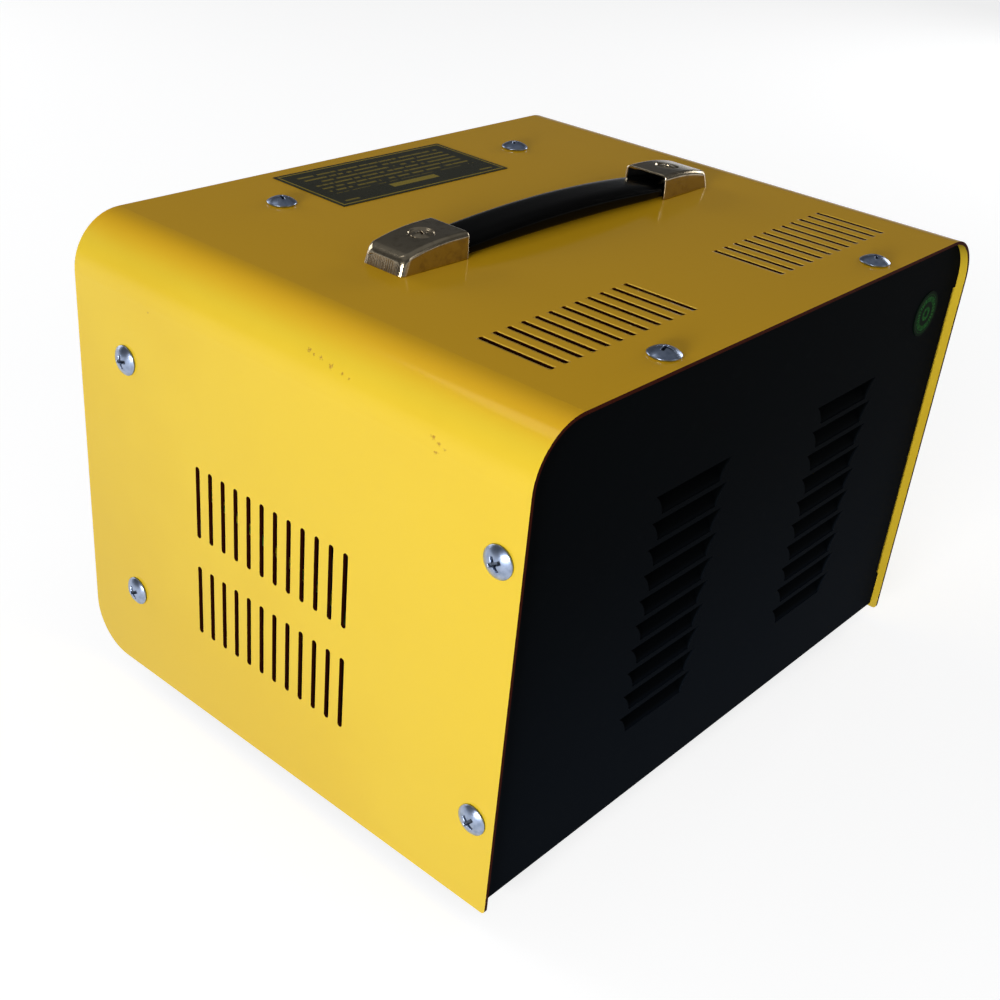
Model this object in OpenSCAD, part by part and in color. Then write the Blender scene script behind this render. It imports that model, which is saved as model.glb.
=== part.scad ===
// Transformer battery charger: a folded yellow cover over a one-piece folded chassis.
// X runs across the width, Y from the front (-Y) to the rear (+Y), Z up from the feet.
// Heights of everything but the feet count from the lower edge of the cover.

/* [Cover] */
// Width of the cover over its two sides
cover_w = 244; // [236:1:270]
// Depth of the cover from front edge to rear edge
cover_d = 191; // [186:1:215]
// Height of the cover
cover_h = 160; // [156:1:180]
// Thickness of the cover sheet
sheet_t = 1.2; // [0.8:0.1:1.6]
// Outer radius of the two long folds
fold_r = 18; // [12:0.5:22]
// Radius of the lower front corners of the sides
visor_r = 16.5; // [8:0.5:18]
// Radius of the lower rear corners of the sides
heel_r = 1.5; // [0.5:0.5:4]

/* [Vent slots] */
// Width of a slot
slot_w = 2; // [1.6:0.1:2.6]
// Length of a slot
slot_l = 26; // [20:0.5:28]
// Slots in a row
slot_n = 12; // [6:1:12]
// Slot spacing along the sides
side_slot_pitch = 6.1; // [5:0.1:6.5]
// Slot spacing across the top
top_slot_pitch = 6; // [5:0.1:6.5]
// Front edge of the cover to the first side slot
side_slot_front = 60.4; // [50:0.2:64]
// Middle height of the lower row of side slots
side_slot_z = 46; // [40:0.5:50]
// Height from the lower row of side slots to the upper row
side_slot_rise = 37; // [32:0.5:40]
// Middle of a top slot group from the middle of the cover
top_slot_x = 57.6; // [52:0.2:60]
// Rear edge of the cover to the middle of the top slots
top_slot_rear = 34.2; // [28:0.2:38]

/* [Chassis] */
// Thickness of the chassis sheet
chassis_t = 1.2; // [1:0.1:1.6]
// Inner radius of the chassis folds
chassis_ri = 1; // [0.8:0.1:1.5]
// Gap between the chassis and the cover
fit_gap = 0.15; // [0.1:0.05:0.3]
// Depth of the front panel behind the front edge of the cover
front_recess = 19; // [17:0.5:20]
// Depth of the rear panel in front of the rear edge of the cover
rear_recess = 2.7; // [1:0.1:3.2]
// Width of the turned-in edges of the front panel
front_lip = 14; // [13:0.5:15]
// Width of the turned-in edges of the rear panel
rear_lip = 12; // [10:0.5:13]
// Height of the turned-up edges of the base
base_lip = 10; // [6:0.5:12]

/* [Louvres] */
// Louvres in a column
louvre_n = 10; // [6:1:10]
// Spacing of the louvres
louvre_pitch = 8.9; // [8.4:0.1:9.2]
// Height of the cut edge of the top louvre
louvre_top_z = 118; // [110:0.5:122]
// Length of a louvre's cut edge
louvre_l = 39.5; // [34:0.5:42]
// Rise of a louvre from its root to its cut edge
louvre_rise = 7; // [6:0.1:7.4]
// Radius of the bent flap
louvre_r = 11; // [10:0.25:13]
// Angle at which the flap leaves the sheet
louvre_lead = 10; // [8:1:14]
// Middle of the louvre column on the +X half
louvre_x_right = 40; // [34:0.5:46]
// Middle of the louvre column on the -X half
louvre_x_left = -50.8; // [-56:0.2:-44]

/* [Cover screws] */
// Diameter of the domed heads
head_d = 10; // [8:0.2:11]
// Height of the domed heads
head_h = 2.6; // [2:0.1:3]
// Diameter of the shanks
shank_d = 4.2; // [3.5:0.1:4.6]
// Length of the shanks
shank_l = 8; // [6:0.5:10]
// Free play of the screws in the cover
cover_play = 0.3; // [0.2:0.05:0.5]
// Free play of the screws in the chassis
thread_play = 0.05; // [0.03:0.01:0.08]
// Rear edge of the cover to the rear screws
screw_rear = 7.9; // [7.5:0.1:8.5]
// Front edge of the cover to the front side screws
screw_side_front = 25.5; // [25:0.1:27]
// Front edge of the cover to the front top screws
screw_top_front = 28; // [25:0.1:28.5]
// Height of the lower side screws
screw_z_low = 32.5; // [28:0.5:36]
// Height of the upper side screws
screw_z_high = 120; // [114:0.5:124]
// Middle of the cover to the top screws
screw_top_x = 59.5; // [54:0.5:64]

/* [Feet] */
// Height of the rubber feet
foot_h = 7; // [6:0.5:10]
// Diameter of a foot where it meets the base
foot_d = 20; // [16:0.5:22]
// Side of the cover to the middle of a foot
foot_inset_x = 27; // [24:0.5:32]
// Panel face to the middle of a foot
foot_inset_y = 20; // [18:0.5:26]

/* [Handle] */
// Width of the end caps at their base
cap_w = 18; // [17:0.5:20]
// Height of the end caps
cap_h = 8.2; // [7.8:0.1:9]
// Length of an end cap
cap_l = 28.4; // [26:0.2:30]
// Wall of the pressed caps
cap_wall = 1; // [0.8:0.1:1.2]
// Distance between the handle screws
handle_pitch = 127; // [118:0.5:134]
// Handle screw to the end of its cap
cap_screw = 16.2; // [15.5:0.1:17]
// Width of the grip
grip_w = 16.4; // [14:0.2:17]
// Height of the grip at its middle
grip_h = 7.9; // [7.5:0.1:9]
// Fall of the grip's crown from its middle to the caps
grip_arch = 2.7; // [1.5:0.1:3]
// Rise of the grip's underside at its middle
grip_rise = 0.8; // [0.4:0.1:1.2]
// Radius of the grip's crown across its width
grip_crown_r = 20; // [16:1:26]
// Shift of the handle from the middle of the cover, across and along
handle_shift = [-3.6, -2.9];
// Turn of the handle from the middle line of the cover
handle_turn = -0.7; // [-1:0.1:1]

/* [Label and sticker] */
// Label size across and along the top
label_size = [81, 37];
// Middle of the label from the middle of the cover, across
label_x = 4; // [-10:0.5:10]
// Front edge of the cover to the middle of the label
label_front = 25.1; // [22:0.1:28]
// Turn of the hand-laid label
label_turn = -1.5; // [-3:0.1:3]
// Thickness of the label and the sticker
film_t = 0.25; // [0.2:0.05:0.3]
// Diameter of the round sticker
sticker_d = 16.5; // [12:0.5:20]
// Middle of the sticker from the -X side and from the top of the cover
sticker_in = [22.5, 26];

/* [Meter] */
// Meter centre on the front panel, across and up
meter_at = [-48, 102];
// Width and height of the meter face
meter_size = [60, 50];
// Depth of the meter face in front of the panel
meter_face = 8; // [8:0.5:10]
// Diameter of the meter's barrel behind the panel
barrel_d = 48; // [46:0.5:48]
// Length of the barrel behind the panel
barrel_l = 28; // [26:0.5:32]
// Pivot of the pointer below the meter centre
pivot_drop = 12; // [11:0.5:12]
// Length of the pointer from its pivot
pointer_l = 30; // [24:0.5:31]

/* [Switch] */
// Switch centre on the front panel, across and up
switch_at = [22, 104];
// Radius of the rocker's ends about its pivot
rocker_r = 12.5; // [12:0.1:12.6]
// Gap round the rocker
rocker_gap = 0.3; // [0.25:0.05:0.4]
// Width of the rocker
rocker_w = 15; // [13:0.5:15.5]
// Tilt of the rocker to either side
rocker_tilt = 9.4; // [7:0.2:10]
// Depth of the rocker's pivot behind the panel face
rocker_sink = 5; // [4.8:0.1:5.4]

/* [Fuse and inlets] */
// Middle of the fuse holder from the +X side and up
fuse_in = [60, 104];
// Diameter of the fuse holder's body
fuse_d = 12.4; // [12:0.1:13]
// Middle of the mains grommet from the +X side and up
mains_in = [30, 44];
// Bore of the mains grommet
mains_bore = 7; // [6:0.5:8]
// Output grommet centres on the front panel
output_at = [[-74, 34], [-44, 34]];
// Bore of the output grommets
output_bore = 8; // [7:0.5:9]

/* [Transformer] */
// Centre of the core on the base
core_at = [-30, 14];
// Width of the middle leg
leg_w = 32; // [30:1:34]
// Thickness of the stack
stack_t = 46; // [42:1:50]
// Gap between the bobbin and the core
bobbin_gap = 0.3; // [0.2:0.05:0.4]
// Wall of the bobbin
bobbin_wall = 1.5; // [1.2:0.1:1.8]
// Thickness of the core brackets
bracket_t = 1.6; // [1.2:0.1:2]

/* [Rectifier] */
// Side of the cover to the inner face of the heat sink
sink_side = 52; // [48:0.5:56]
// Middle of the heat sink, along
sink_y = 25; // [20:0.5:28]
// Length and height of the heat sink
sink_size = [70, 60];
// Fins on the heat sink
fin_n = 8; // [5:1:10]
// Side of the square bridge rectifier
bridge_w = 28.5; // [26:0.5:30]
// Depth of the bridge rectifier
bridge_d = 11; // [8:0.5:12]
// Height of the rectifier's middle
bridge_z = 36; // [32:0.5:38]

/* [Wiring] */
// Middle of the terminal block from the +X side and up
block_in = [30, 92];
// Earth stud from the rear foot on the +X side
earth_from_foot = [5, -20.8];
// Diameter of the mains leads
lead_d = 2.8; // [2.4:0.1:3]
// Diameter of the transformer's output leads
heavy_lead_d = 4; // [3.4:0.1:4.4]

/* [Hidden] */

$fn = 64;
eps = 0.5;

// The chassis follows the inside of the cover
tray_w = cover_w - 2 * (sheet_t + fit_gap);
tray_h = cover_h - sheet_t - fit_gap;
tray_r = fold_r - sheet_t - fit_gap;
chassis_ro = chassis_ri + chassis_t;
front_y = -cover_d / 2 + front_recess;
rear_y = cover_d / 2 - rear_recess;
base_mid_y = (front_y + rear_y) / 2;
lip_low_z = base_lip + 6;
lip_high_z = tray_h - tray_r - 3;
top_lip_l = tray_w - 2 * tray_r - 8;

// What keeps its distance from the +X side
fuse_at = [cover_w / 2 - fuse_in[0], fuse_in[1]];
mains_at = [cover_w / 2 - mains_in[0], mains_in[1]];
block_at = [cover_w / 2 - block_in[0], block_in[1]];
sink_x = cover_w / 2 - sink_side;

// Hex nuts and small screws, by thread size
m3_d = 3;
m4_d = 4;
m5_d = 5;
m3_nut = [5.5, 2.4];
m4_nut = [7, 3.2];
m5_nut = [8, 4];
m4_head = [8, 2.4];
m3_head = [6, 2];
m5_head = [9, 3];

// Louvre flap: an arc about a centre behind and below its root, cut off square to the arc
louvre_root = 0.3;
louvre_drop = 0.4;
louvre_stock = 0.2;
louvre_cx = louvre_root + louvre_r * cos(louvre_lead);
louvre_cz = louvre_r * sin(louvre_lead);
louvre_tip_z = louvre_rise - louvre_drop;
louvre_tip_r = louvre_cx - sqrt(pow(louvre_r, 2) - pow(louvre_tip_z + louvre_cz, 2));
louvre_end_r = ceil(louvre_tip_r * 10) / 10 + 0.5;

// Feet
foot_taper = 1.5;
foot_recess = 3.5;
foot_x = cover_w / 2 - foot_inset_x;
foot_rear_y = rear_y - foot_inset_y;
foot_places = [for (sx = [-1, 1]) for (y = [front_y + foot_inset_y, foot_rear_y])
    [sx * foot_x, y]];

// Handle: lies on the top, so its heights count from the top of the cover
cap_draft = 1;
cap_end_draft = 2.4;
cap_flat = 6;
cap_drop = 2.4;
cap_edge_r = 2;
cap_corner_r = 3;
handle_l = handle_pitch + 2 * cap_screw;
cap_mouth = handle_l / 2 - cap_l;
grip_edge_r = 1.2;
grip_clear = 0.3;
grip_lift = 0.15;
grip_arch_r = pow(cap_mouth, 2) / (2 * grip_arch);
grip_under_r = pow(cap_mouth, 2) / (2 * grip_rise);
pad_w = 12;
pad_h = cap_h - cap_wall - cap_drop - grip_clear + 1;
pad_end = 9;
neck_h = 4.4;
strip = [10, 1];
strip_z = 2.4;
strip_play = 0.15;
strip_end = 10;
washer = [11, 1];
handle_head = [7.6, 1.7];

// Meter
meter_wall = 1.5;
meter_rim = 3;
window_size = [52, 30];
window_up = 6;
window_gap = 0.1;
dial_t = 0.8;
barrel_wall = 2;
movement_hole_d = 36;
pin_d = 2;
hub_d = 6;
hub_w = [2.8, 4.8];
pointer_w = [3.3, 3.9];
pointer_play = 0.05;
pointer_rest = 135;
tail_d = 6;
tail_at = 4.5;
meter_stud_at = [25, -20];
meter_terminal_x = 10;
meter_stud_l = 10;
movement_l = 22;

// Switch
switch_face = [23, 31, 2];
switch_body_size = [19.6, 27.6, 20];
switch_cut_gap = 0.2;
rocker_pin_d = 3;
rocker_pin_l = 18.6;
rocker_crest = 6.3;
rocker_valley = 5.2;
rocker_back = 7;
blade = [4.8, 0.8, 7];
blade_up = 6;

// Fuse holder
fuse_flange = [17, 2.5];
fuse_body_l = 26;
fuse_glass = [5.2, 20];
fuse_cap_d = 13.5;
fuse_cap_l = 7;
fuse_hex = [19, 3];
fuse_play = 0.1;
side_blade_w = -16;
side_blade_up = fuse_d / 2 - 0.6;

// Grommets
grommet_wall = 2.2;
grommet_rim = 2;
grommet_out = 3.5;

// Transformer: scrapless laminations, window half as wide as the leg
core_w = 3 * leg_w;
core_h = 2.5 * leg_w;
window_w = leg_w / 2;
window_h = 1.5 * leg_w;
core_z = chassis_t;
corner_in = 6;
flange_t = 1.6;
coil_reach = window_w - 1.5;
bobbin_z = [core_z + window_w + bobbin_gap, core_z + window_w + window_h - bobbin_gap];
coil_gap = 0.1;
coil_corner = 7;
bracket_leg = [17, 14];
bracket_ri = 1;
bracket_hole_x = 38;
bracket_hole_y = 10;

// Heat sink and rectifier
sink_t = 5;
fin_l = 13;
fin_t = 2;
sink_screw_y = 20;
tab_at = 9;
tab = [0.8, 6.3, 9];

// Terminal block: three ways
block_size = [34, 20, 14];
way_pitch = 10;
way_d = 3.4;
clamp_d = 5;
clamp_up = 5.5;
clamp_play = 0.1;

earth_at = [foot_x + earth_from_foot[0], foot_rear_y + earth_from_foot[1]];
lug_t = 1;
lug_barrel = [4.6, 9];
earth_barrel_y = earth_at[1] - 14;
earth_barrel_z = chassis_t + lug_barrel[0] / 2;

// Faces that the leads run to
block_back_y = front_y + chassis_t + block_size[2] / 2;
block_low_z = block_at[1] - block_size[1] / 2;
block_high_z = block_at[1] + block_size[1] / 2;
blade_y = front_y + switch_body_size[2] + blade[2];
fuse_blade_y = front_y + fuse_body_l + blade[2];
coil_front_y = core_at[1] - stack_t / 2 - coil_reach;
coil_rear_y = core_at[1] + stack_t / 2 + coil_reach;
tab_x = sink_x - bridge_d - tab[2];
lead_gap = 0.2;
lead_straight = [1.5, 5.5];
meter_stud_y = front_y + barrel_l + meter_stud_l;

// Routes of the leads: chosen points, tied to the faces at their ends
earth_route = [[block_at[0] + way_pitch, block_back_y, block_low_z + 2],
    for (d = lead_straight) [block_at[0] + way_pitch, block_back_y, block_low_z - d],
    [104, -56, 73], [106, -30, 70], [106, -5, 65], [106, 14, 60], [106, 24, 44], [103, 29, 22],
    [earth_at[0], 32, 7.5], [earth_at[0], earth_barrel_y - 3.5, earth_barrel_z],
    [earth_at[0], earth_barrel_y - lead_gap, earth_barrel_z]];
fuse_route = [[block_at[0], block_back_y, block_high_z - 2],
    for (d = lead_straight) [block_at[0], block_back_y, block_high_z + d],
    [87, -51, 114], [75, -36, 112], [fuse_at[0] + 2, -32, fuse_at[1] + 2],
    [fuse_at[0], -36, fuse_at[1]], [fuse_at[0], -39, fuse_at[1]],
    [fuse_at[0], fuse_blade_y + lead_gap, fuse_at[1]]];
switch_route = [[fuse_at[0], front_y - side_blade_w, fuse_at[1] + side_blade_up + blade[2] + lead_gap],
    [fuse_at[0], front_y - side_blade_w, fuse_at[1] + 19], [52, -54, 128], [38, -42, 126],
    [26, -36, 116], [switch_at[0], -38, switch_at[1] + blade_up + 1],
    [switch_at[0], -43, switch_at[1] + blade_up],
    [switch_at[0], blade_y + lead_gap, switch_at[1] + blade_up]];
primary_route = [[switch_at[0], blade_y + lead_gap, switch_at[1] - blade_up],
    [switch_at[0], -42, switch_at[1] - blade_up], [20, -37, 88], [10, -35, 62], [-2, -34, 38],
    [-8, -30, 29], [-8, coil_front_y - 3, 28], [-8, coil_front_y - lead_gap, 28]];
neutral_route = [[block_at[0] - way_pitch, block_back_y, block_low_z + 2],
    for (d = lead_straight) [block_at[0] - way_pitch, block_back_y, block_low_z - d],
    [77, -56, 60], [58, -46, 46], [36, -40, 34], [16, -37, 26], [5, -31, 24],
    [3, coil_front_y - 3, 24], [3, coil_front_y - lead_gap, 24]];
secondary_high_route = [[-10, coil_rear_y + lead_gap, 56],
    for (d = lead_straight) [-10, coil_rear_y + d, 56],
    [4, 64, 58], [24, 58, 55], [35, 46, 48],
    for (d = [6, 3, lead_gap]) [tab_x - d, sink_y + tab_at, bridge_z + tab_at]];
secondary_low_route = [[-46, coil_rear_y + lead_gap, 52],
    for (d = lead_straight) [-46, coil_rear_y + d, 52],
    [-28, 66, 44], [8, 66, 36], [32, 50, 29],
    for (d = [6, 3, lead_gap]) [tab_x - d, sink_y + tab_at, bridge_z - tab_at]];
meter_route = [for (d = [lead_gap, 3, 6]) [tab_x - d, sink_y - tab_at, bridge_z + tab_at],
    [37, 6, 53], [32, -14, 74], [10, -26, 94], [-16, -24, 102],
    [meter_at[0] + meter_terminal_x + 3, -25, meter_at[1] + 1],
    [meter_at[0] + meter_terminal_x, meter_stud_y + 4, meter_at[1]],
    [meter_at[0] + meter_terminal_x, meter_stud_y + lead_gap, meter_at[1]]];

module on_feet() translate([0, 0, foot_h]) children();

// Profile drawn as (Y, Z), carried along X
module along_x(l) rotate([90, 0, 90]) linear_extrude(l, center = true) children();

// Profile drawn as (X, Z), carried along Y
module along_y(l) rotate([90, 0, 0]) linear_extrude(l, center = true) children();

// Fittings on the front panel: drawn as (across, up), with depth counted out of the panel
module on_front(at) on_feet() translate([at[0], front_y, at[1]]) rotate([90, 0, 0]) children();

module rounded(size, r) {
    square([size[0] - 2 * r, size[1]], center = true);
    square([size[0], size[1] - 2 * r], center = true);
    for (sx = [-1, 1]) for (sy = [-1, 1])
        translate([sx * (size[0] / 2 - r), sy * (size[1] / 2 - r)]) circle(r);
}

module slot_outline() {
    square([slot_w, slot_l - slot_w], center = true);
    for (s = [-1, 1]) translate([0, s * (slot_l - slot_w) / 2]) circle(slot_w / 2);
}

// Upright outline with two rounded upper corners
module hood_outline(w, h, r) {
    translate([-w / 2, 0]) square([w, h - r]);
    translate([-w / 2 + r, 0]) square([w - 2 * r, h]);
    for (s = [-1, 1]) translate([s * (w / 2 - r), h - r]) circle(r);
}

// What is cut off a square corner at the origin to round it
module corner_waste(r) difference() {
    translate([-eps, -eps]) square(r + eps);
    translate([r, r]) circle(r);
}

// Bent edge: a short leg up the panel, the fold, and the turned-in leg
module lip_section(lip, t, ri) {
    ro = ri + t;
    translate([ro, 0]) square([lip - ro, t]);
    translate([0, ro]) square([t, eps]);
    intersection() {
        square(ro);
        translate([ro, ro]) difference() {
            circle(ro);
            circle(ri);
        }
    }
}

module hex_nut(size, bore) difference() {
    cylinder(h = size[1], d = size[0] / cos(30), $fn = 6);
    translate([0, 0, -eps]) cylinder(h = size[1] + 2 * eps, d = bore);
}

// Cross-recess screw: seat at the origin, head above, shank below
module screw(head, shank, l) difference() {
    union() {
        dome_r = (pow(head[0] / 2, 2) + pow(head[1], 2)) / (2 * head[1]);
        rotate_extrude() intersection() {
            translate([0, head[1] - dome_r]) circle(dome_r);
            square([head[0] / 2, head[1]]);
        }
        translate([0, 0, -l]) cylinder(h = l, d = shank);
    }
    for (a = [0, 90]) rotate(a) translate([0, 0, head[1]])
        cube([head[0] * 0.46, head[0] * 0.11, head[1] * 1.1], center = true);
}

module cover_screw() screw([head_d, head_h], shank_d, shank_l);

module at_top_screws() for (x = [-screw_top_x, screw_top_x])
    for (y = [-cover_d / 2 + screw_top_front, cover_d / 2 - screw_rear])
        translate([x, y, cover_h]) children();

module at_side_screws() for (sx = [-1, 1]) for (z = [screw_z_low, screw_z_high])
    for (y = [-cover_d / 2 + screw_side_front, cover_d / 2 - screw_rear])
        translate([sx * cover_w / 2, y, z]) rotate([0, sx * 90, 0]) children();

module at_handle() translate([handle_shift[0], handle_shift[1], cover_h]) rotate(handle_turn)
    children();

module at_handle_screws() at_handle() for (s = [-1, 1])
    translate([s * handle_pitch / 2, 0, 0]) children();

module cover_screw_holes(d) {
    at_top_screws() cylinder(h = 4 * rear_recess, d = d, center = true);
    at_side_screws() cylinder(h = 4 * rear_recess, d = d, center = true);
}

// Cover: top and sides folded from one sheet, slots and screw holes punched
module cover() color("gold") on_feet() difference() {
    along_y(cover_d) difference() {
        hood_outline(cover_w, cover_h, fold_r);
        translate([0, -eps])
            hood_outline(cover_w - 2 * sheet_t, cover_h - sheet_t + eps, fold_r - sheet_t);
    }
    translate([0, -cover_d / 2, 0]) along_x(cover_w + 2) corner_waste(visor_r);
    translate([0, cover_d / 2, 0]) mirror([0, 1, 0]) along_x(cover_w + 2) corner_waste(heel_r);
    for (i = [0:slot_n - 1]) for (row = [0, 1])
        translate([0, -cover_d / 2 + side_slot_front + i * side_slot_pitch,
            side_slot_z + row * side_slot_rise]) along_x(cover_w + 2) slot_outline();
    for (i = [0:slot_n - 1]) for (s = [-1, 1])
        translate([s * top_slot_x + (i - (slot_n - 1) / 2) * top_slot_pitch,
            cover_d / 2 - top_slot_rear, cover_h - sheet_t - eps])
            linear_extrude(sheet_t + 2 * eps) slot_outline();
    cover_screw_holes(shank_d + 2 * cover_play);
    at_handle_screws() cylinder(h = 4 * sheet_t, d = m4_d + 2 * cover_play, center = true);
}

// Space in front of a louvre flap, drawn as (depth behind the panel face, height)
module louvre_hollow() difference() {
    square([louvre_end_r, louvre_rise]);
    translate([louvre_cx, -louvre_cz]) circle(louvre_r);
}

// Sheet of the flap, with a little stock in front that the hollow takes off
module louvre_flap() intersection() {
    far = (louvre_r + 1) / louvre_r;
    run = louvre_cx - louvre_tip_r;
    up = louvre_tip_z + louvre_cz;
    polygon([[0, 0], [louvre_cx - run * louvre_cz / up, 0],
        [louvre_cx - run * far, up * far - louvre_cz], [0, up * far - louvre_cz]]);
    translate([louvre_cx, -louvre_cz]) difference() {
        circle(louvre_r + louvre_stock);
        circle(louvre_r - chassis_t);
    }
}

// A louvre's form: straight middle, and ends turned half round about the panel face
module louvre_form() {
    straight = louvre_l - 2 * louvre_end_r;
    rotate([90, 0, -90]) linear_extrude(straight, center = true) children();
    for (s = [-1, 1]) translate([s * straight / 2, 0, 0])
        rotate(180) rotate_extrude(angle = 180) children();
}

module at_louvres() for (x = [louvre_x_left, louvre_x_right]) for (i = [0:louvre_n - 1])
    translate([x, rear_y, louvre_top_z - louvre_rise - i * louvre_pitch]) children();

// Upright chassis panel, notched where its edges are turned in, with its outer face at Y = 0
module panel_sheet() translate([0, chassis_t / 2, 0]) along_y(chassis_t) difference() {
    hood_outline(tray_w, tray_h, tray_r);
    translate([-tray_w, -eps]) square([2 * tray_w, chassis_ro + eps]);
    for (s = [-1, 1]) translate([s * tray_w / 2 - chassis_ro, lip_low_z])
        square([2 * chassis_ro, lip_high_z - lip_low_z]);
    translate([-top_lip_l / 2, tray_h - chassis_ro]) square([top_lip_l, 2 * chassis_ro]);
}

// Turned-in edges of an upright panel, running back from Y = 0
module panel_lips(lip) {
    for (s = [0, 1]) mirror([s, 0, 0]) translate([tray_w / 2, 0, lip_low_z])
        rotate(90) linear_extrude(lip_high_z - lip_low_z) lip_section(lip, chassis_t, chassis_ri);
    translate([0, 0, tray_h]) mirror([0, 0, 1])
        along_x(top_lip_l) lip_section(lip, chassis_t, chassis_ri);
}

// Base sheet with the folds up to both panels and the turned-up side edges
module base_sheet() {
    l = rear_y - front_y;
    translate([0, base_mid_y, 0]) {
        translate([-tray_w / 2 + chassis_ro, -l / 2 + chassis_ro, 0])
            cube([tray_w - 2 * chassis_ro, l - 2 * chassis_ro, chassis_t]);
        for (m = [0, 1]) mirror([0, m, 0]) translate([0, -l / 2, 0])
            along_x(tray_w) lip_section(chassis_ro + eps, chassis_t, chassis_ri);
        for (m = [0, 1]) mirror([m, 0, 0]) translate([-tray_w / 2, 0, 0])
            rotate([90, 0, 0]) linear_extrude(l - 2 * rear_lip - 8, center = true)
                mirror([1, -1]) lip_section(base_lip, chassis_t, chassis_ri);
    }
}

module front_openings() {
    on_panel = chassis_t * 4;
    translate([0, front_y, 0]) rotate([90, 0, 0]) linear_extrude(on_panel, center = true) {
        translate(meter_at) circle(d = barrel_d + 1);
        translate(meter_at) for (s = [-1, 1])
            translate([s * meter_stud_at[0], meter_stud_at[1]]) circle(d = m3_d + 2 * cover_play);
        translate(switch_at) square([switch_body_size[0] + 2 * switch_cut_gap,
            switch_body_size[1] + 2 * switch_cut_gap], center = true);
        translate(fuse_at) circle(d = fuse_d + 2 * fuse_play);
        translate(mains_at) circle(d = mains_bore + 2 * grommet_wall);
        for (p = output_at) translate(p) circle(d = output_bore + 2 * grommet_wall);
        for (s = [-1, 1]) translate([block_at[0] + s * way_pitch / 2, block_at[1]])
            circle(d = m3_d + 2 * cover_play);
    }
}

module at_brackets() for (sx = [-1, 1]) for (sy = [-1, 1])
    translate([core_at[0] + sx * bracket_hole_x,
        core_at[1] + sy * (stack_t / 2 + bracket_hole_y), 0]) children();

module at_sink_screws() for (s = [-1, 1])
    translate([sink_x + sink_t / 2, sink_y + s * sink_screw_y, 0]) children();

module base_holes() {
    depth = 4 * chassis_t;
    for (p = foot_places) translate([p[0], p[1], 0])
        cylinder(h = depth, d = m4_d + 2 * cover_play, center = true);
    at_brackets() cylinder(h = depth, d = m4_d + 2 * cover_play, center = true);
    at_sink_screws() cylinder(h = depth, d = m3_d + 2 * cover_play, center = true);
    translate([earth_at[0], earth_at[1], 0])
        cylinder(h = depth, d = m5_d + 2 * cover_play, center = true);
}

// Chassis: front panel, base and louvred rear panel folded from one sheet
module chassis() color([0.08, 0.08, 0.09]) on_feet() difference() {
    union() {
        translate([0, front_y, 0]) panel_sheet();
        translate([0, front_y, 0]) panel_lips(front_lip);
        translate([0, rear_y, 0]) mirror([0, 1, 0]) panel_sheet();
        translate([0, rear_y, 0]) mirror([0, 1, 0]) panel_lips(rear_lip);
        base_sheet();
        at_louvres() louvre_form() louvre_flap();
    }
    at_louvres() louvre_form() louvre_hollow();
    front_openings();
    base_holes();
    cover_screw_holes(shank_d + 2 * thread_play);
}

module cover_screws() color("silver") on_feet() {
    at_top_screws() cover_screw();
    at_side_screws() cover_screw();
}

// Rubber feet: tapered, with a recess for the screw head
module rubber_feet() color([0.1, 0.1, 0.1]) for (p = foot_places) translate([p[0], p[1], 0])
    difference() {
        cylinder(h = foot_h, d1 = foot_d - 2 * foot_taper, d2 = foot_d);
        translate([0, 0, -eps]) cylinder(h = foot_recess + eps, d = m4_head[0] + 1);
        cylinder(h = 2 * foot_h, d = m4_d + 2 * cover_play);
    }

module foot_screws() color("silver") for (p = foot_places)
    translate([p[0], p[1], foot_recess]) mirror([0, 0, 1])
        screw(m4_head, m4_d, foot_h - foot_recess + chassis_t + m4_nut[1] + 1);

module foot_nuts() color("silver") on_feet() for (p = foot_places)
    translate([p[0], p[1], chassis_t]) hex_nut(m4_nut, m4_d + 2 * thread_play);

// Handle parts: X along the handle, Z up from the top of the cover
module on_handle() on_feet() at_handle() children();

// Grip section drawn as (height, across): flat below, crowned above, shoulders rounded
module grip_section(h) intersection() {
    r = grip_edge_r;
    half = grip_w / 2 - r;
    edge = h - grip_crown_r + sqrt(pow(grip_crown_r - r, 2) - pow(half, 2));
    translate([h - grip_crown_r, 0]) circle(grip_crown_r);
    union() {
        translate([0, -half - r]) square([edge, grip_w]);
        translate([0, -half]) square([h, 2 * half]);
        for (s = [-1, 1]) translate([edge, s * half]) circle(r);
    }
}

// Grip: moulded strap with an arched crown and underside, a thin neck through each cap's
// mouth, and pads that fill the caps
module handle_grip() color([0.05, 0.05, 0.05]) on_handle() difference() {
    union() {
        intersection() {
            arch_z = grip_h - grip_arch_r;
            translate([0, 0, arch_z]) rotate([90, 0, 0]) rotate_extrude($fn = 720)
                translate([grip_arch_r - grip_h, 0]) grip_section(grip_h);
            translate([0, 0, grip_h / 2 + grip_lift])
                cube([2 * (cap_mouth - grip_clear), 2 * grip_w, grip_h], center = true);
        }
        translate([0, 0, grip_lift + (neck_h - grip_lift) / 2])
            cube([handle_l - 2 * pad_end, pad_w, neck_h - grip_lift], center = true);
        for (s = [-1, 1]) translate([s * (cap_mouth + handle_l / 2 - pad_end + grip_clear) / 2, 0,
            grip_lift + (pad_h - grip_lift) / 2])
            cube([handle_l / 2 - pad_end - cap_mouth - grip_clear, pad_w, pad_h - grip_lift],
                center = true);
    }
    translate([0, 0, grip_lift + grip_rise - grip_under_r]) rotate([90, 0, 0])
        cylinder(h = 2 * grip_w, r = grip_under_r, center = true, $fn = 720);
    translate([0, 0, strip_z + strip[1] / 2]) cube([handle_l, strip[0] + 2 * strip_play,
        strip[1] + 2 * strip_play], center = true);
    for (s = [-1, 1]) translate([s * handle_pitch / 2, 0, -eps])
        cylinder(h = 2 * cap_h, d = m4_d + 2 * cover_play);
}

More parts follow.
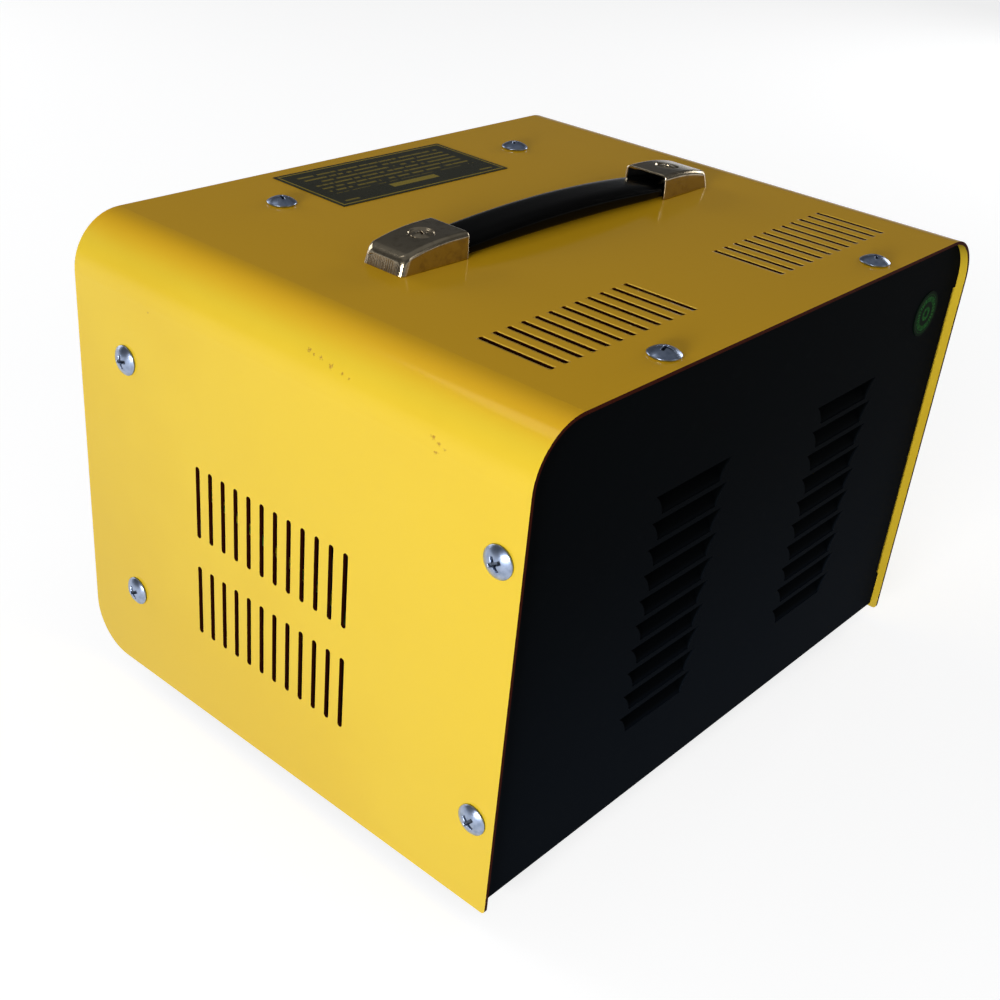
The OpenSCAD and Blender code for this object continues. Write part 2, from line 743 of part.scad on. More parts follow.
// Spring-steel strip that carries the load from screw to screw
module handle_strip() color("slategray") on_handle() difference() {
    translate([0, 0, strip_z + strip[1] / 2])
        cube([handle_l - 2 * strip_end, strip[0], strip[1]], center = true);
    for (s = [-1, 1]) translate([s * handle_pitch / 2, 0, 0])
        cylinder(h = cap_h, d = m4_d + 2 * cover_play);
}

// Side view of a cap, (along, up): flat from the mouth, then falling in an arc to the end
module cap_side(l, h) intersection() {
    run = l - cap_end_draft - cap_flat;
    arc_r = (pow(run, 2) + pow(cap_drop, 2)) / (2 * cap_drop);
    polygon([[0, 0], [l, 0], [l - cap_end_draft, h], [0, h]]);
    union() {
        square([cap_flat, h]);
        translate([cap_flat, h - arc_r]) circle(arc_r, $fn = 360);
    }
}

// End view of a cap, (across, up): drafted sides and rounded shoulders
module cap_end(hw, h) {
    a = atan(cap_draft / cap_h);
    up = h - cap_edge_r;
    mid = hw - (cap_edge_r + up * sin(a)) / cos(a);
    side = [mid + cap_edge_r * cos(a), up + cap_edge_r * sin(a)];
    polygon([[-hw, 0], [hw, 0], side, [mid, h], [-mid, h], [-side[0], side[1]]]);
    for (s = [-1, 1]) translate([s * mid, up]) circle(cap_edge_r);
}

module cap_form(l, hw, h) intersection() {
    along_y(4 * hw) cap_side(l, h);
    along_x(4 * l) cap_end(hw, h);
    linear_extrude(h) {
        translate([0, -hw]) square([l - cap_corner_r, 2 * hw]);
        translate([0, -hw + cap_corner_r]) square([l, 2 * (hw - cap_corner_r)]);
        for (s = [-1, 1]) translate([l - cap_corner_r, s * (hw - cap_corner_r)])
            circle(cap_corner_r);
    }
}

// End cap: pressed shell, open below and at its mouth
module handle_cap() translate([cap_mouth, 0, 0]) difference() {
    cap_form(cap_l, cap_w / 2, cap_h);
    translate([-eps, 0, -eps])
        cap_form(cap_l - cap_wall + eps, cap_w / 2 - cap_wall, cap_h - cap_wall + eps);
    translate([handle_pitch / 2 - cap_mouth, 0, 0])
        cylinder(h = 2 * cap_h, d = m4_d + 2 * cover_play);
}

module handle_cap_right() color("gainsboro") on_handle() handle_cap();
module handle_cap_left() color("gainsboro") on_handle() mirror([1, 0, 0]) handle_cap();

module handle_screws() color("silver") on_feet() at_handle_screws() translate([0, 0, cap_h])
    screw(handle_head, m4_d, cap_h + sheet_t + washer[1] + m4_nut[1] + 1);

module handle_washers() color("silver") on_feet() at_handle_screws()
    translate([0, 0, -sheet_t - washer[1]]) difference() {
        cylinder(h = washer[1], d = washer[0]);
        translate([0, 0, -eps]) cylinder(h = 3 * washer[1], d = m4_d + 2 * cover_play);
    }

module handle_nuts() color("silver") on_feet() at_handle_screws()
    translate([0, 0, -sheet_t - washer[1] - m4_nut[1]]) hex_nut(m4_nut, m4_d + 2 * thread_play);

module top_label() color([0.1, 0.1, 0.12]) on_feet()
    translate([label_x, -cover_d / 2 + label_front, cover_h]) rotate(label_turn)
        translate([-label_size[0] / 2, -label_size[1] / 2, 0])
            cube([label_size[0], label_size[1], film_t]);

module rear_sticker() color([0.2, 0.5, 0.25]) on_feet()
    translate([-cover_w / 2 + sticker_in[0], rear_y, cover_h - sticker_in[1]]) rotate([-90, 0, 0])
        cylinder(h = film_t, d = sticker_d);

// Meter case: square face in front of the panel, round barrel behind it
module meter_case() color([0.12, 0.12, 0.12]) on_front(meter_at) difference() {
    union() {
        linear_extrude(meter_face) rounded(meter_size, 4);
        translate([0, 0, -barrel_l]) cylinder(h = barrel_l + eps, d = barrel_d);
        for (s = [-1, 1]) translate([s * meter_stud_at[0], meter_stud_at[1], -9])
            cylinder(h = 9 + eps, d = m3_d);
    }
    translate([0, 0, meter_wall]) linear_extrude(meter_face - 2 * meter_wall)
        rounded(meter_size - 2 * [meter_rim, meter_rim], 2);
    translate([0, window_up, meter_wall]) linear_extrude(meter_face) rounded(window_size, 2);
    translate([0, 0, -barrel_l + barrel_wall])
        cylinder(h = barrel_l - barrel_wall, d = barrel_d - 2 * barrel_wall);
    translate([0, 0, -eps]) cylinder(h = meter_wall + 2 * eps, d = movement_hole_d);
}

module meter_dial() color("white") on_front(meter_at) translate([0, 0, meter_wall])
    linear_extrude(dial_t) difference() {
        rounded(meter_size - 2 * [meter_rim + window_gap, meter_rim + window_gap], 2);
        translate([0, -pivot_drop]) circle(d = 2 * pin_d);
    }

module meter_window() color([0.8, 0.9, 1, 0.3]) on_front(meter_at)
    translate([0, window_up, meter_face - meter_wall + window_gap])
        linear_extrude(meter_wall - 2 * window_gap)
            rounded(window_size - 2 * [window_gap, window_gap], 2);

// Movement behind the dial, with the pivot pin through it
module meter_movement() color("dimgray") on_front(meter_at) {
    translate([0, 0, meter_wall - movement_l]) cylinder(h = movement_l, d = movement_hole_d - 2);
    translate([0, -pivot_drop, 0]) cylinder(h = hub_w[1] - 0.4, d = pin_d);
}

// Pointer: tapered blade with a balance weight, on a hub that turns on the pivot pin
module meter_pointer() color("black") on_front(meter_at) translate([0, -pivot_drop, 0])
    rotate(pointer_rest) difference() {
        union() {
            translate([0, 0, hub_w[0]]) cylinder(h = hub_w[1] - hub_w[0], d = hub_d);
            translate([-tail_at, 0, hub_w[0]]) cylinder(h = hub_w[1] - hub_w[0], d = tail_d);
            translate([0, 0, pointer_w[0]]) linear_extrude(pointer_w[1] - pointer_w[0])
                polygon([[0, -0.9], [pointer_l, -0.3], [pointer_l, 0.3], [0, 0.9]]);
        }
        cylinder(h = hub_w[1] - 0.3, d = pin_d + 2 * pointer_play);
    }

module meter_nuts() color("silver") on_front(meter_at) for (s = [-1, 1])
    translate([s * meter_stud_at[0], meter_stud_at[1], -chassis_t - m3_nut[1]])
        hex_nut(m3_nut, m3_d + 2 * thread_play);

module meter_terminals() color("goldenrod") on_front(meter_at) for (s = [-1, 1])
    translate([s * meter_terminal_x, 0, -barrel_l - meter_stud_l]) {
        cylinder(h = meter_stud_l, d = m4_d);
        translate([0, 0, meter_stud_l - m4_nut[1]])
            cylinder(h = m4_nut[1], d = m4_nut[0] / cos(30), $fn = 6);
    }

// Switch body: face on the panel, housing behind, round hollow for the rocker
module switch_body() color([0.1, 0.1, 0.1]) on_front(switch_at) difference() {
    union() {
        linear_extrude(switch_face[2]) rounded([switch_face[0], switch_face[1]], 2);
        translate([0, 0, -switch_body_size[2] / 2]) cube(switch_body_size, center = true);
    }
    translate([0, 0, -rocker_sink]) rotate([0, 90, 0]) {
        cylinder(h = rocker_w + 2 * rocker_gap, r = rocker_r + rocker_gap, center = true);
        cylinder(h = 2 * switch_body_size[0], d = rocker_pin_d + 2 * thread_play, center = true);
    }
}

// Rocker: round ends about the pivot, two flats meeting in a shallow valley
module switch_rocker() color([0.6, 0.05, 0.05]) on_front(switch_at)
    translate([0, 0, -rocker_sink]) rotate([-rocker_tilt, 0, 0]) rotate([0, -90, 0]) {
        linear_extrude(rocker_w, center = true) intersection() {
            circle(rocker_r);
            polygon([[rocker_crest, rocker_r], [rocker_valley, 0], [rocker_crest, -rocker_r],
                [-rocker_back, -rocker_r], [-rocker_back, rocker_r]]);
        }
        cylinder(h = rocker_pin_l, d = rocker_pin_d, center = true);
    }

// Flat blades on the back of the switch and on the fuse holder
module spade_terminals() color("goldenrod") {
    for (s = [-1, 1]) on_front(switch_at)
        translate([0, s * blade_up, -switch_body_size[2] - blade[2] / 2]) cube(blade, center = true);
    on_front(fuse_at) translate([0, 0, -fuse_body_l - blade[2] / 2]) cube(blade, center = true);
    on_front(fuse_at) translate([0, side_blade_up + blade[2] / 2, side_blade_w])
        cube([blade[0], blade[2], blade[1]], center = true);
}

module fuse_holder() color([0.1, 0.1, 0.1]) on_front(fuse_at) difference() {
    union() {
        cylinder(h = fuse_flange[1], d = fuse_flange[0]);
        translate([0, 0, -fuse_body_l]) cylinder(h = fuse_body_l + eps, d = fuse_d);
    }
    translate([-fuse_d / 2, side_blade_up, side_blade_w - 1.5]) cube([fuse_d, fuse_d, 3]);
    translate([0, 0, -3]) cylinder(h = 10, d = 9);
    translate([0, 0, -3.5 - fuse_glass[1]]) cylinder(h = 10 + fuse_glass[1], d = fuse_glass[0] + 0.4);
}

module fuse() color("lightgray") on_front(fuse_at)
    translate([0, 0, -3.3 - fuse_glass[1]]) cylinder(h = fuse_glass[1], d = fuse_glass[0]);

// Fuse cap: fluted knob with a stem in the holder
module fuse_cap() color([0.15, 0.15, 0.15]) on_front(fuse_at) difference() {
    union() {
        translate([0, 0, fuse_flange[1]]) cylinder(h = fuse_cap_l, d = fuse_cap_d);
        translate([0, 0, -2.8]) cylinder(h = fuse_flange[1] + 3, d = 9 - 2 * fuse_play);
    }
    for (a = [0:30:330]) rotate(a) translate([fuse_cap_d / 2 + 0.6, 0, fuse_flange[1] + 1.5])
        cylinder(h = fuse_cap_l, d = 2);
    translate([0, 0, fuse_flange[1] + fuse_cap_l]) cube([8, 1.4, 2.4], center = true);
}

module fuse_nut() color([0.1, 0.1, 0.1]) on_front(fuse_at) difference() {
    translate([0, 0, -chassis_t - fuse_hex[1]]) cylinder(h = fuse_hex[1], d = fuse_hex[0], $fn = 6);
    translate([0, 0, -fuse_body_l]) cylinder(h = 2 * fuse_body_l, d = fuse_d + 2 * thread_play);
}

// Grommet: two rims with a groove that holds the panel edge
module grommet(bore) rotate_extrude() difference() {
    r = bore / 2 + grommet_wall;
    translate([bore / 2, -grommet_out]) square([grommet_wall + grommet_rim, 2 * grommet_out - chassis_t]);
    translate([r - 0.1, -chassis_t - 0.05]) square([grommet_rim + eps, chassis_t + 0.1]);
}

module mains_grommet() color([0.1, 0.1, 0.1]) on_front(mains_at) grommet(mains_bore);
module output_grommets() color([0.1, 0.1, 0.1]) for (p = output_at) on_front(p) grommet(output_bore);

module at_ways() for (i = [-1:1]) translate([i * way_pitch, 0, 0]) children();

module at_clamps() at_ways() for (s = [-1, 1])
    translate([0, s * clamp_up, -chassis_t - block_size[2]]) children();

// Terminal block on the back of the front panel, ways running up and down
module terminal_block() color("ivory") on_front(block_at) difference() {
    translate([0, 0, -chassis_t - block_size[2] / 2]) cube(block_size, center = true);
    at_ways() translate([0, 0, -chassis_t - block_size[2] / 2]) rotate([90, 0, 0])
        cylinder(h = 2 * block_size[1], d = way_d, center = true);
    at_clamps() translate([0, 0, -eps]) cylinder(h = block_size[2] / 2 + eps, d = clamp_d);
    for (s = [-1, 1]) translate([s * way_pitch / 2, 0, -chassis_t - 9])
        cylinder(h = 20, d = m3_d + 2 * thread_play);
}

module terminal_screws() color("silver") on_front(block_at)
    for (s = [-1, 1]) translate([s * way_pitch / 2, 0, 0]) screw(m3_head, m3_d, 9);

module clamp_screws() color("silver") on_front(block_at) at_clamps() translate([0, 0, 1.5])
    difference() {
        cylinder(h = 3, d = clamp_d - 2 * clamp_play);
        cube([2 * clamp_d, 0.8, 1.4], center = true);
    }

// Laminated core: shell type with two windows and four bolt holes
module transformer_core() color("slategray") on_feet()
    translate([core_at[0], core_at[1], core_z + core_h / 2]) along_y(stack_t) difference() {
        square([core_w, core_h], center = true);
        for (s = [-1, 1]) translate([s * (leg_w + window_w) / 2, 0])
            square([window_w, window_h], center = true);
        for (sx = [-1, 1]) for (sz = [-1, 1])
            translate([sx * (core_w / 2 - corner_in), sz * (core_h / 2 - corner_in)])
                circle(d = m4_d + 2 * cover_play);
    }

// Bobbin: square tube round the middle leg with three flanges
module bobbin() color("ivory") on_feet() translate([core_at[0], core_at[1], 0]) difference() {
    h = bobbin_z[1] - bobbin_z[0];
    bore = [leg_w + 2 * bobbin_gap, stack_t + 2 * bobbin_gap];
    translate([0, 0, bobbin_z[0]]) {
        linear_extrude(h) square(bore + 2 * [bobbin_wall, bobbin_wall], center = true);
        for (z = [0, (h - flange_t) / 2, h - flange_t]) translate([0, 0, z])
            linear_extrude(flange_t) rounded([leg_w, stack_t] + 2 * [coil_reach + 1, coil_reach + 1], 2);
    }
    linear_extrude(2 * core_h) square(bore, center = true);
}

module winding(half) {
    h = (bobbin_z[1] - bobbin_z[0] - 3 * flange_t) / 2;
    z = bobbin_z[0] + flange_t + half * (h + flange_t);
    inside = bobbin_gap + bobbin_wall + coil_gap;
    translate([core_at[0], core_at[1], z + coil_gap]) linear_extrude(h - 2 * coil_gap) difference() {
        rounded([leg_w, stack_t] + 2 * [coil_reach, coil_reach], coil_corner);
        square([leg_w, stack_t] + 2 * [inside, inside], center = true);
    }
}

module primary_winding() color("sienna") on_feet() winding(0);
module secondary_winding() color("peru") on_feet() winding(1);

// Angle bracket along the lower edge of the core, foot turned away from it
module core_bracket() difference() {
    translate([0, stack_t / 2 + bracket_t, core_z])
        along_x(core_w) translate([-bracket_t, 0]) {
            ro = bracket_ri + bracket_t;
            translate([0, ro]) square([bracket_t, bracket_leg[1] - ro]);
            translate([ro, 0]) square([bracket_leg[0] - ro, bracket_t]);
            intersection() {
                square(ro);
                translate([ro, ro]) difference() {
                    circle(ro);
                    circle(bracket_ri);
                }
            }
        }
    for (s = [-1, 1]) {
        translate([s * bracket_hole_x, stack_t / 2 + bracket_hole_y, 0])
            cylinder(h = 4 * bracket_t, d = m4_d + 2 * cover_play);
        translate([s * (core_w / 2 - corner_in), stack_t / 2, core_z + corner_in])
            rotate([90, 0, 0]) cylinder(h = 6 * bracket_t, d = m4_d + 2 * cover_play, center = true);
    }
}

module core_bracket_rear() color("silver") on_feet()
    translate([core_at[0], core_at[1], 0]) core_bracket();
module core_bracket_front() color("silver") on_feet()
    translate([core_at[0], core_at[1], 0]) mirror([0, 1, 0]) core_bracket();

// Through bolts: the lower pair also clamps the brackets
module at_core_bolts() for (sx = [-1, 1]) for (low = [0, 1])
    translate([core_at[0] + sx * (core_w / 2 - corner_in), core_at[1],
        core_z + (low == 1 ? corner_in : core_h - corner_in)]) {
        $grip = stack_t + 2 * low * bracket_t;
        children();
    }

module core_bolts() color("silver") on_feet() at_core_bolts()
    translate([0, -$grip / 2, 0]) rotate([90, 0, 0]) screw(m4_head, m4_d, $grip + m4_nut[1] + 2);

module core_nuts() color("silver") on_feet() at_core_bolts()
    translate([0, $grip / 2, 0]) rotate([-90, 0, 0]) hex_nut(m4_nut, m4_d + 2 * thread_play);

module bracket_screws() color("silver") on_feet() at_brackets() mirror([0, 0, 1])
    screw(m4_head, m4_d, chassis_t + bracket_t + m4_nut[1] + 1);

module bracket_nuts() color("silver") on_feet() at_brackets()
    translate([0, 0, chassis_t + bracket_t]) hex_nut(m4_nut, m4_d + 2 * thread_play);

// Heat sink: extruded comb standing on the base, fins towards the side of the case
module heat_sink() color([0.2, 0.2, 0.22]) on_feet() difference() {
    translate([sink_x, sink_y - sink_size[0] / 2, chassis_t]) linear_extrude(sink_size[1]) {
        square([sink_t, sink_size[0]]);
        for (i = [0:fin_n - 1]) translate([0, i * (sink_size[0] - fin_t) / (fin_n - 1)])
            square([sink_t + fin_l, fin_t]);
    }
    at_sink_screws() cylinder(h = 14, d = m3_d + 2 * thread_play);
    translate([sink_x, sink_y, bridge_z]) rotate([0, 90, 0])
        cylinder(h = 2 * sink_t, d = m4_d + 2 * thread_play, center = true);
}

module heat_sink_screws() color("silver") on_feet() at_sink_screws() mirror([0, 0, 1])
    screw(m3_head, m3_d, 10);

// Bridge rectifier: square block with a bevelled corner, a middle hole and four tabs
module bridge_rectifier() color([0.15, 0.15, 0.15]) on_feet()
    translate([sink_x - bridge_d, sink_y, bridge_z]) {
        translate([bridge_d / 2, 0, 0]) along_x(bridge_d) difference() {
            square(bridge_w, center = true);
            circle(d = m4_d + 2 * cover_play);
            translate([bridge_w / 2, bridge_w / 2]) rotate(45) square(6, center = true);
        }
        for (sy = [-1, 1]) for (sz = [-1, 1]) translate([(eps - tab[2]) / 2, sy * tab_at, sz * tab_at])
            cube([tab[2] + eps, tab[0], tab[1]], center = true);
    }

module rectifier_screw() color("silver") on_feet()
    translate([sink_x - bridge_d, sink_y, bridge_z]) rotate([0, -90, 0])
        screw(m4_head, m4_d, bridge_d + sink_t);

// Earth stud through the base, with its lug and nut
module earth_stud() color("silver") on_feet() translate([earth_at[0], earth_at[1], 0])
    mirror([0, 0, 1]) screw(m5_head, m5_d, chassis_t + lug_t + m5_nut[1] + 3);

module earth_lug() color("goldenrod") on_feet() translate([earth_at[0], earth_at[1], 0]) {
    translate([0, 0, chassis_t]) linear_extrude(lug_t) difference() {
        union() {
            circle(d = m5_nut[0] + 3);
            translate([-1.5, earth_barrel_y + lug_barrel[1] / 2 - earth_at[1]])
                square([3, earth_at[1] - earth_barrel_y - lug_barrel[1] / 2]);
        }
        circle(d = m5_d + 2 * cover_play);
    }
    translate([0, earth_barrel_y - earth_at[1], earth_barrel_z]) rotate([-90, 0, 0])
        cylinder(h = lug_barrel[1], d = lug_barrel[0]);
}

module earth_nut() color("silver") on_feet()
    translate([earth_at[0], earth_at[1], chassis_t + lug_t]) hex_nut(m5_nut, m5_d + 2 * thread_play);

// Point on the smooth curve through four neighbouring route points
function along(a, b, c, d, u) = 0.5 * (2 * b + (c - a) * u + (2 * a - 5 * b + 4 * c - d) * u * u
    + (3 * b - a - 3 * c + d) * u * u * u);
function smooth(p, steps) = let(n = len(p)) concat([for (i = [0:n - 2]) for (k = [0:steps - 1])
    along(p[max(i - 1, 0)], p[i], p[i + 1], p[min(i + 2, n - 1)], k / steps)], [p[n - 1]]);
function unit(v) = v / norm(v);

// Lead: a round tube of eight sides carried along the smoothed route
module lead(route, d) {
    sides = 8;
    path = smooth(route, 3);
    n = len(path);
    rings = [for (i = [0:n - 1]) let(
        t = unit(path[min(i + 1, n - 1)] - path[max(i - 1, 0)]),
        s = unit(cross(t, abs(t[2]) > 0.8 ? [1, 0.3, 0] : [0, 0.2, 1])),
        w = cross(s, t)) for (k = [0:sides - 1])
            path[i] + d / 2 * (cos(360 * k / sides) * s + sin(360 * k / sides) * w)];
    walls = [for (i = [0:n - 2]) for (k = [0:sides - 1]) for (far = [0, 1])
        let(a = i * sides, m = (k + 1) % sides)
        far == 0 ? [a + k, a + sides + k, a + sides + m] : [a + k, a + sides + m, a + m]];
    polyhedron(rings, concat(walls, [[for (k = [0:sides - 1]) k]],
        [[for (k = [sides - 1:-1:0]) (n - 1) * sides + k]]));
}

module earth_lead() color("yellowgreen") on_feet() lead(earth_route, lead_d);
module fuse_lead() color("saddlebrown") on_feet() lead(fuse_route, lead_d);
module switch_lead() color("saddlebrown") on_feet() lead(switch_route, lead_d);
module primary_lead() color("black") on_feet() lead(primary_route, lead_d);
module neutral_lead() color("royalblue") on_feet() lead(neutral_route, lead_d);
module secondary_leads() color("black") on_feet() {
    lead(secondary_high_route, heavy_lead_d);
    lead(secondary_low_route, heavy_lead_d);
}
module meter_lead() color("red") on_feet() lead(meter_route, heavy_lead_d);

cover();
chassis();
cover_screws();
rubber_feet();
foot_screws();
foot_nuts();
handle_grip();
handle_strip();
handle_cap_right();
handle_cap_left();
handle_screws();
handle_washers();
handle_nuts();
top_label();
rear_sticker();
meter_case();
meter_dial();
meter_window();
meter_movement();
meter_pointer();
meter_nuts();
meter_terminals();
switch_body();
switch_rocker();
spade_terminals();
fuse_holder();
fuse();
fuse_cap();
fuse_nut();
mains_grommet();
output_grommets();
terminal_block();
terminal_screws();
clamp_screws();
transformer_core();
bobbin();
primary_winding();
secondary_winding();
core_bracket_front();
core_bracket_rear();
core_bolts();
core_nuts();
bracket_screws();
bracket_nuts();
heat_sink();
heat_sink_screws();
bridge_rectifier();
rectifier_screw();
earth_stud();
earth_lug();
earth_nut();
earth_lead();
fuse_lead();
switch_lead();
primary_lead();
neutral_lead();
secondary_leads();
meter_lead();
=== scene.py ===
"""Transformer battery charger: its finishes and fine forms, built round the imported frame."""

import functools
import math

import bpy
import numpy as np
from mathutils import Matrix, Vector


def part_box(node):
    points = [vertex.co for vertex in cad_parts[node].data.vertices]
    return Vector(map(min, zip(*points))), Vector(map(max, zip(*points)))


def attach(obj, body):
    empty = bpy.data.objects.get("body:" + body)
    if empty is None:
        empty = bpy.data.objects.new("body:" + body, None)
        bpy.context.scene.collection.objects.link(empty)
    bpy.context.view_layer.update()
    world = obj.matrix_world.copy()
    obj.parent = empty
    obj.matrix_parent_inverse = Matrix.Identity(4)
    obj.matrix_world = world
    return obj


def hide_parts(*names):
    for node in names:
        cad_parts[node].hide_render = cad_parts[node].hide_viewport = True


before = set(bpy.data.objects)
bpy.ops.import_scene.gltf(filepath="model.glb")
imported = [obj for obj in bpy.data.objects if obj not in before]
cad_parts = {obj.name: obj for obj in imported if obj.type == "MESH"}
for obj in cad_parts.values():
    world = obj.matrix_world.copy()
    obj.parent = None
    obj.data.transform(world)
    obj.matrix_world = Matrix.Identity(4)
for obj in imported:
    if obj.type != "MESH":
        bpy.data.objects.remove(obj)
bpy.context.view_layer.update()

# Cover: one sheet of 1.2 mm steel folded over the top and both sides, stove-enamelled in a
# glossy yellow. The enamel has a faint orange peel, hand smears, and a few specks on the
# right-hand fold where the paint is knocked through to the brown primer. Painted shade darkens
# the walls of its slots and its cut edges, a painted highlight pales the rims of the top slots,
# and painted shade turns its top a deeper orange.


class Wire:
    """A shader socket that takes part in arithmetic: each operator adds its Math node."""

    def __init__(self, finish, socket):
        self.finish, self.socket = finish, socket

    def maths(self, operation, *terms):
        return self.finish.node("Math", {"operation": operation}, dict(enumerate(terms)))[0]

    def __add__(self, other):
        return self.maths("ADD", self, other)

    def __radd__(self, other):
        return self.maths("ADD", other, self)

    def __sub__(self, other):
        return self.maths("SUBTRACT", self, other)

    def __rsub__(self, other):
        return self.maths("SUBTRACT", other, self)

    def __mul__(self, other):
        return self.maths("MULTIPLY", self, other)

    def __rmul__(self, other):
        return self.maths("MULTIPLY", other, self)

    def __truediv__(self, other):
        return self.maths("DIVIDE", self, other)

    def __mod__(self, other):
        return self.maths("FLOORED_MODULO", self, other)

    def __pow__(self, other):
        return self.maths("POWER", self, other)

    def __abs__(self):
        return self.maths("ABSOLUTE", self)

    def most(self, other):
        return self.maths("MAXIMUM", self, other)

    def rise(self, low, high):
        """0 below low, 1 above high, with a smooth step between them."""
        return self.finish.node(
            "MapRange", {"interpolation_type": "SMOOTHSTEP"}, {0: self, 1: low, 2: high})[0]


class Outputs:
    """A shader node's outputs, each as a Wire."""

    def __init__(self, finish, node):
        self.finish, self.node = finish, node

    def __getitem__(self, key):
        return Wire(self.finish, self.node.outputs[key])


class Finish:
    """A material in the making. All places and sizes in it are millimetres on the object."""

    def __init__(self, name, world=False):
        self.material = (bpy.data.worlds if world else bpy.data.materials).new(name)
        self.material.use_nodes = True
        self.tree = self.material.node_tree
        self.tree.nodes.clear()
        metres = self.node("TexCoord")["Object"]
        self.place = self.node(
            "VectorMath", {"operation": "SCALE"}, {0: metres, "Scale": 1000.0})[0]

    def node(self, kind, settings=None, sockets=None):
        """Adds a node: first its settings, then its sockets."""
        node = self.tree.nodes.new("ShaderNode" + kind)
        for key, value in (settings or {}).items():
            setattr(node, key, value)
        for key, value in (sockets or {}).items():
            if isinstance(value, Wire):
                self.tree.links.new(value.socket, node.inputs[key])
            else:
                node.inputs[key].default_value = value
        return Outputs(self, node)

    def mix(self, share, first, second):
        """Goes from the first colour to the second as share goes from 0 to 1."""
        return self.node("Mix", {"data_type": "RGBA"}, {0: share, 6: first, 7: second})[2]

    def axes(self, vector=None):
        parts = self.node("SeparateXYZ", {}, {0: vector or self.place})
        return parts[0], parts[1], parts[2]

    def stretched(self, x, y, z):
        """The place on the object, scaled along each axis."""
        return self.node(
            "VectorMath", {"operation": "MULTIPLY"}, {0: self.place, 1: (x, y, z)})[0]

    def noise(self, per_mm, detail=2.0, roughness=0.5, vector=None):
        return self.node("TexNoise", {}, {
            "Vector": vector or self.place, "Scale": per_mm, "Detail": detail,
            "Roughness": roughness})[0]

    def bump(self, height_mm):
        """Bends the normal by a height in millimetres."""
        return self.node("Bump", {}, {"Height": height_mm, "Distance": 0.001, "Strength": 1.0})[0]

    def surface(self, sockets, share=0.0, second_surface=None):
        """Ends the material. Where share is 1, the second surface shows instead."""
        shader = self.node("BsdfPrincipled", {}, sockets)[0]
        if second_surface:
            second_shader = self.node("BsdfPrincipled", {}, second_surface)[0]
            shader = self.node("MixShader", {}, {0: share, 1: shader, 2: second_shader})[0]
        self.node("OutputMaterial", {}, {"Surface": shader})
        return self.material


def tone(red, green, blue):
    """A colour given as it looks on screen, 0 to 255, as linear light."""
    linear = [((c / 255 + 0.055) / 1.055) ** 2.4 if c > 10 else c / 255 / 12.92
              for c in (red, green, blue)]
    return (*linear, 1.0)


def dress(material, *names):
    """Gives CAD nodes their finish."""
    for name in names:
        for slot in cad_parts[name].material_slots:
            slot.material = material


def span_mm(node):
    """The lowest and highest corner of a CAD node, in millimetres."""
    return [[round(1000.0 * part, 3) for part in corner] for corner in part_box(node)]


cover_low, cover_high = span_mm("cover")
side_x, top_z = cover_high[0], cover_high[2]
slot_group_x, slot_pitch, slot_row_y, slot_row_half = 57.6, 6.0, 61.3, 13.0
# Each chip in the paint: its place along the fold, its height, and its radius
paint_chips = (
    (12.2, 158.4, 1.0), (14.4, 158.0, 0.6), (17.2, 157.9, 0.9), (21.6, 157.2, 1.1),
    (26.3, 156.7, 0.7), (29.2, 156.2, 0.6), (61.8, 152.2, 1.0), (64.0, 151.2, 0.8),
    (66.2, 150.4, 0.6), (63.4, 148.4, 0.9), (-67.0, 168.6, 0.7), (-57.4, 147.2, 0.5))

enamel = Finish("yellow_enamel")
x, y, z = enamel.axes()
mottle = enamel.noise(0.012, 3.0)
smear = enamel.noise(0.05, 4.0, 0.6, enamel.stretched(1.0, 0.35, 1.6))
grit = enamel.noise(2.6, 1.0)
peel = enamel.noise(0.42, 1.5)
sheet_wave = enamel.noise(0.011, 1.0)
yellow = enamel.mix(mottle.rise(0.35, 0.7), tone(240, 205, 56), tone(234, 197, 51))
yellow = enamel.mix(smear.rise(0.58, 0.8) * 0.12, yellow, tone(226, 190, 70))
facing = enamel.node("SeparateXYZ", {}, {0: enamel.node("NewGeometry")["Normal"]})
# Painted shade: where the enamel faces up, on the top, it is painted a deeper orange, as the top
# looks in the shade.
yellow = enamel.mix(facing[2].rise(0.55, 1.0), yellow, tone(250, 192, 34))


def paint_chip(chip_y, chip_z, size):
    """1 inside one chip with a ragged edge, 0 outside it."""
    far = (((y - chip_y) * 0.8) ** 2.0 + ((z - chip_z) * 1.1) ** 2.0) ** 0.5
    return 1.0 - (far / size + (grit - 0.5) * 2.6).rise(0.2, 0.6)


scuffs = functools.reduce(Wire.most, [paint_chip(*chip) for chip in paint_chips])
scuffs = scuffs * x.rise(side_x - 22.0, side_x - 18.0)
yellow = enamel.mix(scuffs * 0.7, yellow, tone(168, 98, 20))
dust = enamel.noise(3.1, 0.0).rise(0.77, 0.82) * enamel.noise(0.03, 2.0).rise(0.45, 0.7)
yellow = enamel.mix(dust * 0.25, yellow, tone(236, 214, 140))
on_side = abs(x).rise(side_x - 2.5, side_x - 2.0) * (1.0 - z.rise(140.0, 141.0))
under_top = (1.0 - abs(x).rise(110.0, 112.0)) * (1.0 - z.rise(top_z - 0.2, top_z - 0.05))
# Painted shade: the walls of the slots and the sheet's cut edges are painted a dark red-brown with
# almost no sheen, where the light does not reach.
shaded_walls = abs(facing[1]).rise(0.3, 0.5).most(
    abs(facing[2]).rise(0.6, 0.8) * on_side).most(abs(facing[0]).rise(0.6, 0.8) * under_top)
from_group = abs(x) - slot_group_x
from_slot = abs(from_group % slot_pitch - slot_pitch / 2)
slot_rows = (
    (1.0 - abs(y - slot_row_y).rise(slot_row_half - 0.4, slot_row_half + 0.2))
    * (1.0 - abs(from_group).rise(34.7, 35.0)) * z.rise(top_z - 1.0, top_z - 0.5))
# Painted highlight: the rounded rims of the top slots are painted paler, besides their real
# rounding in the bump.
shoulder_and_highlight = (1.0 - from_slot.rise(0.95, 1.55)) * slot_rows
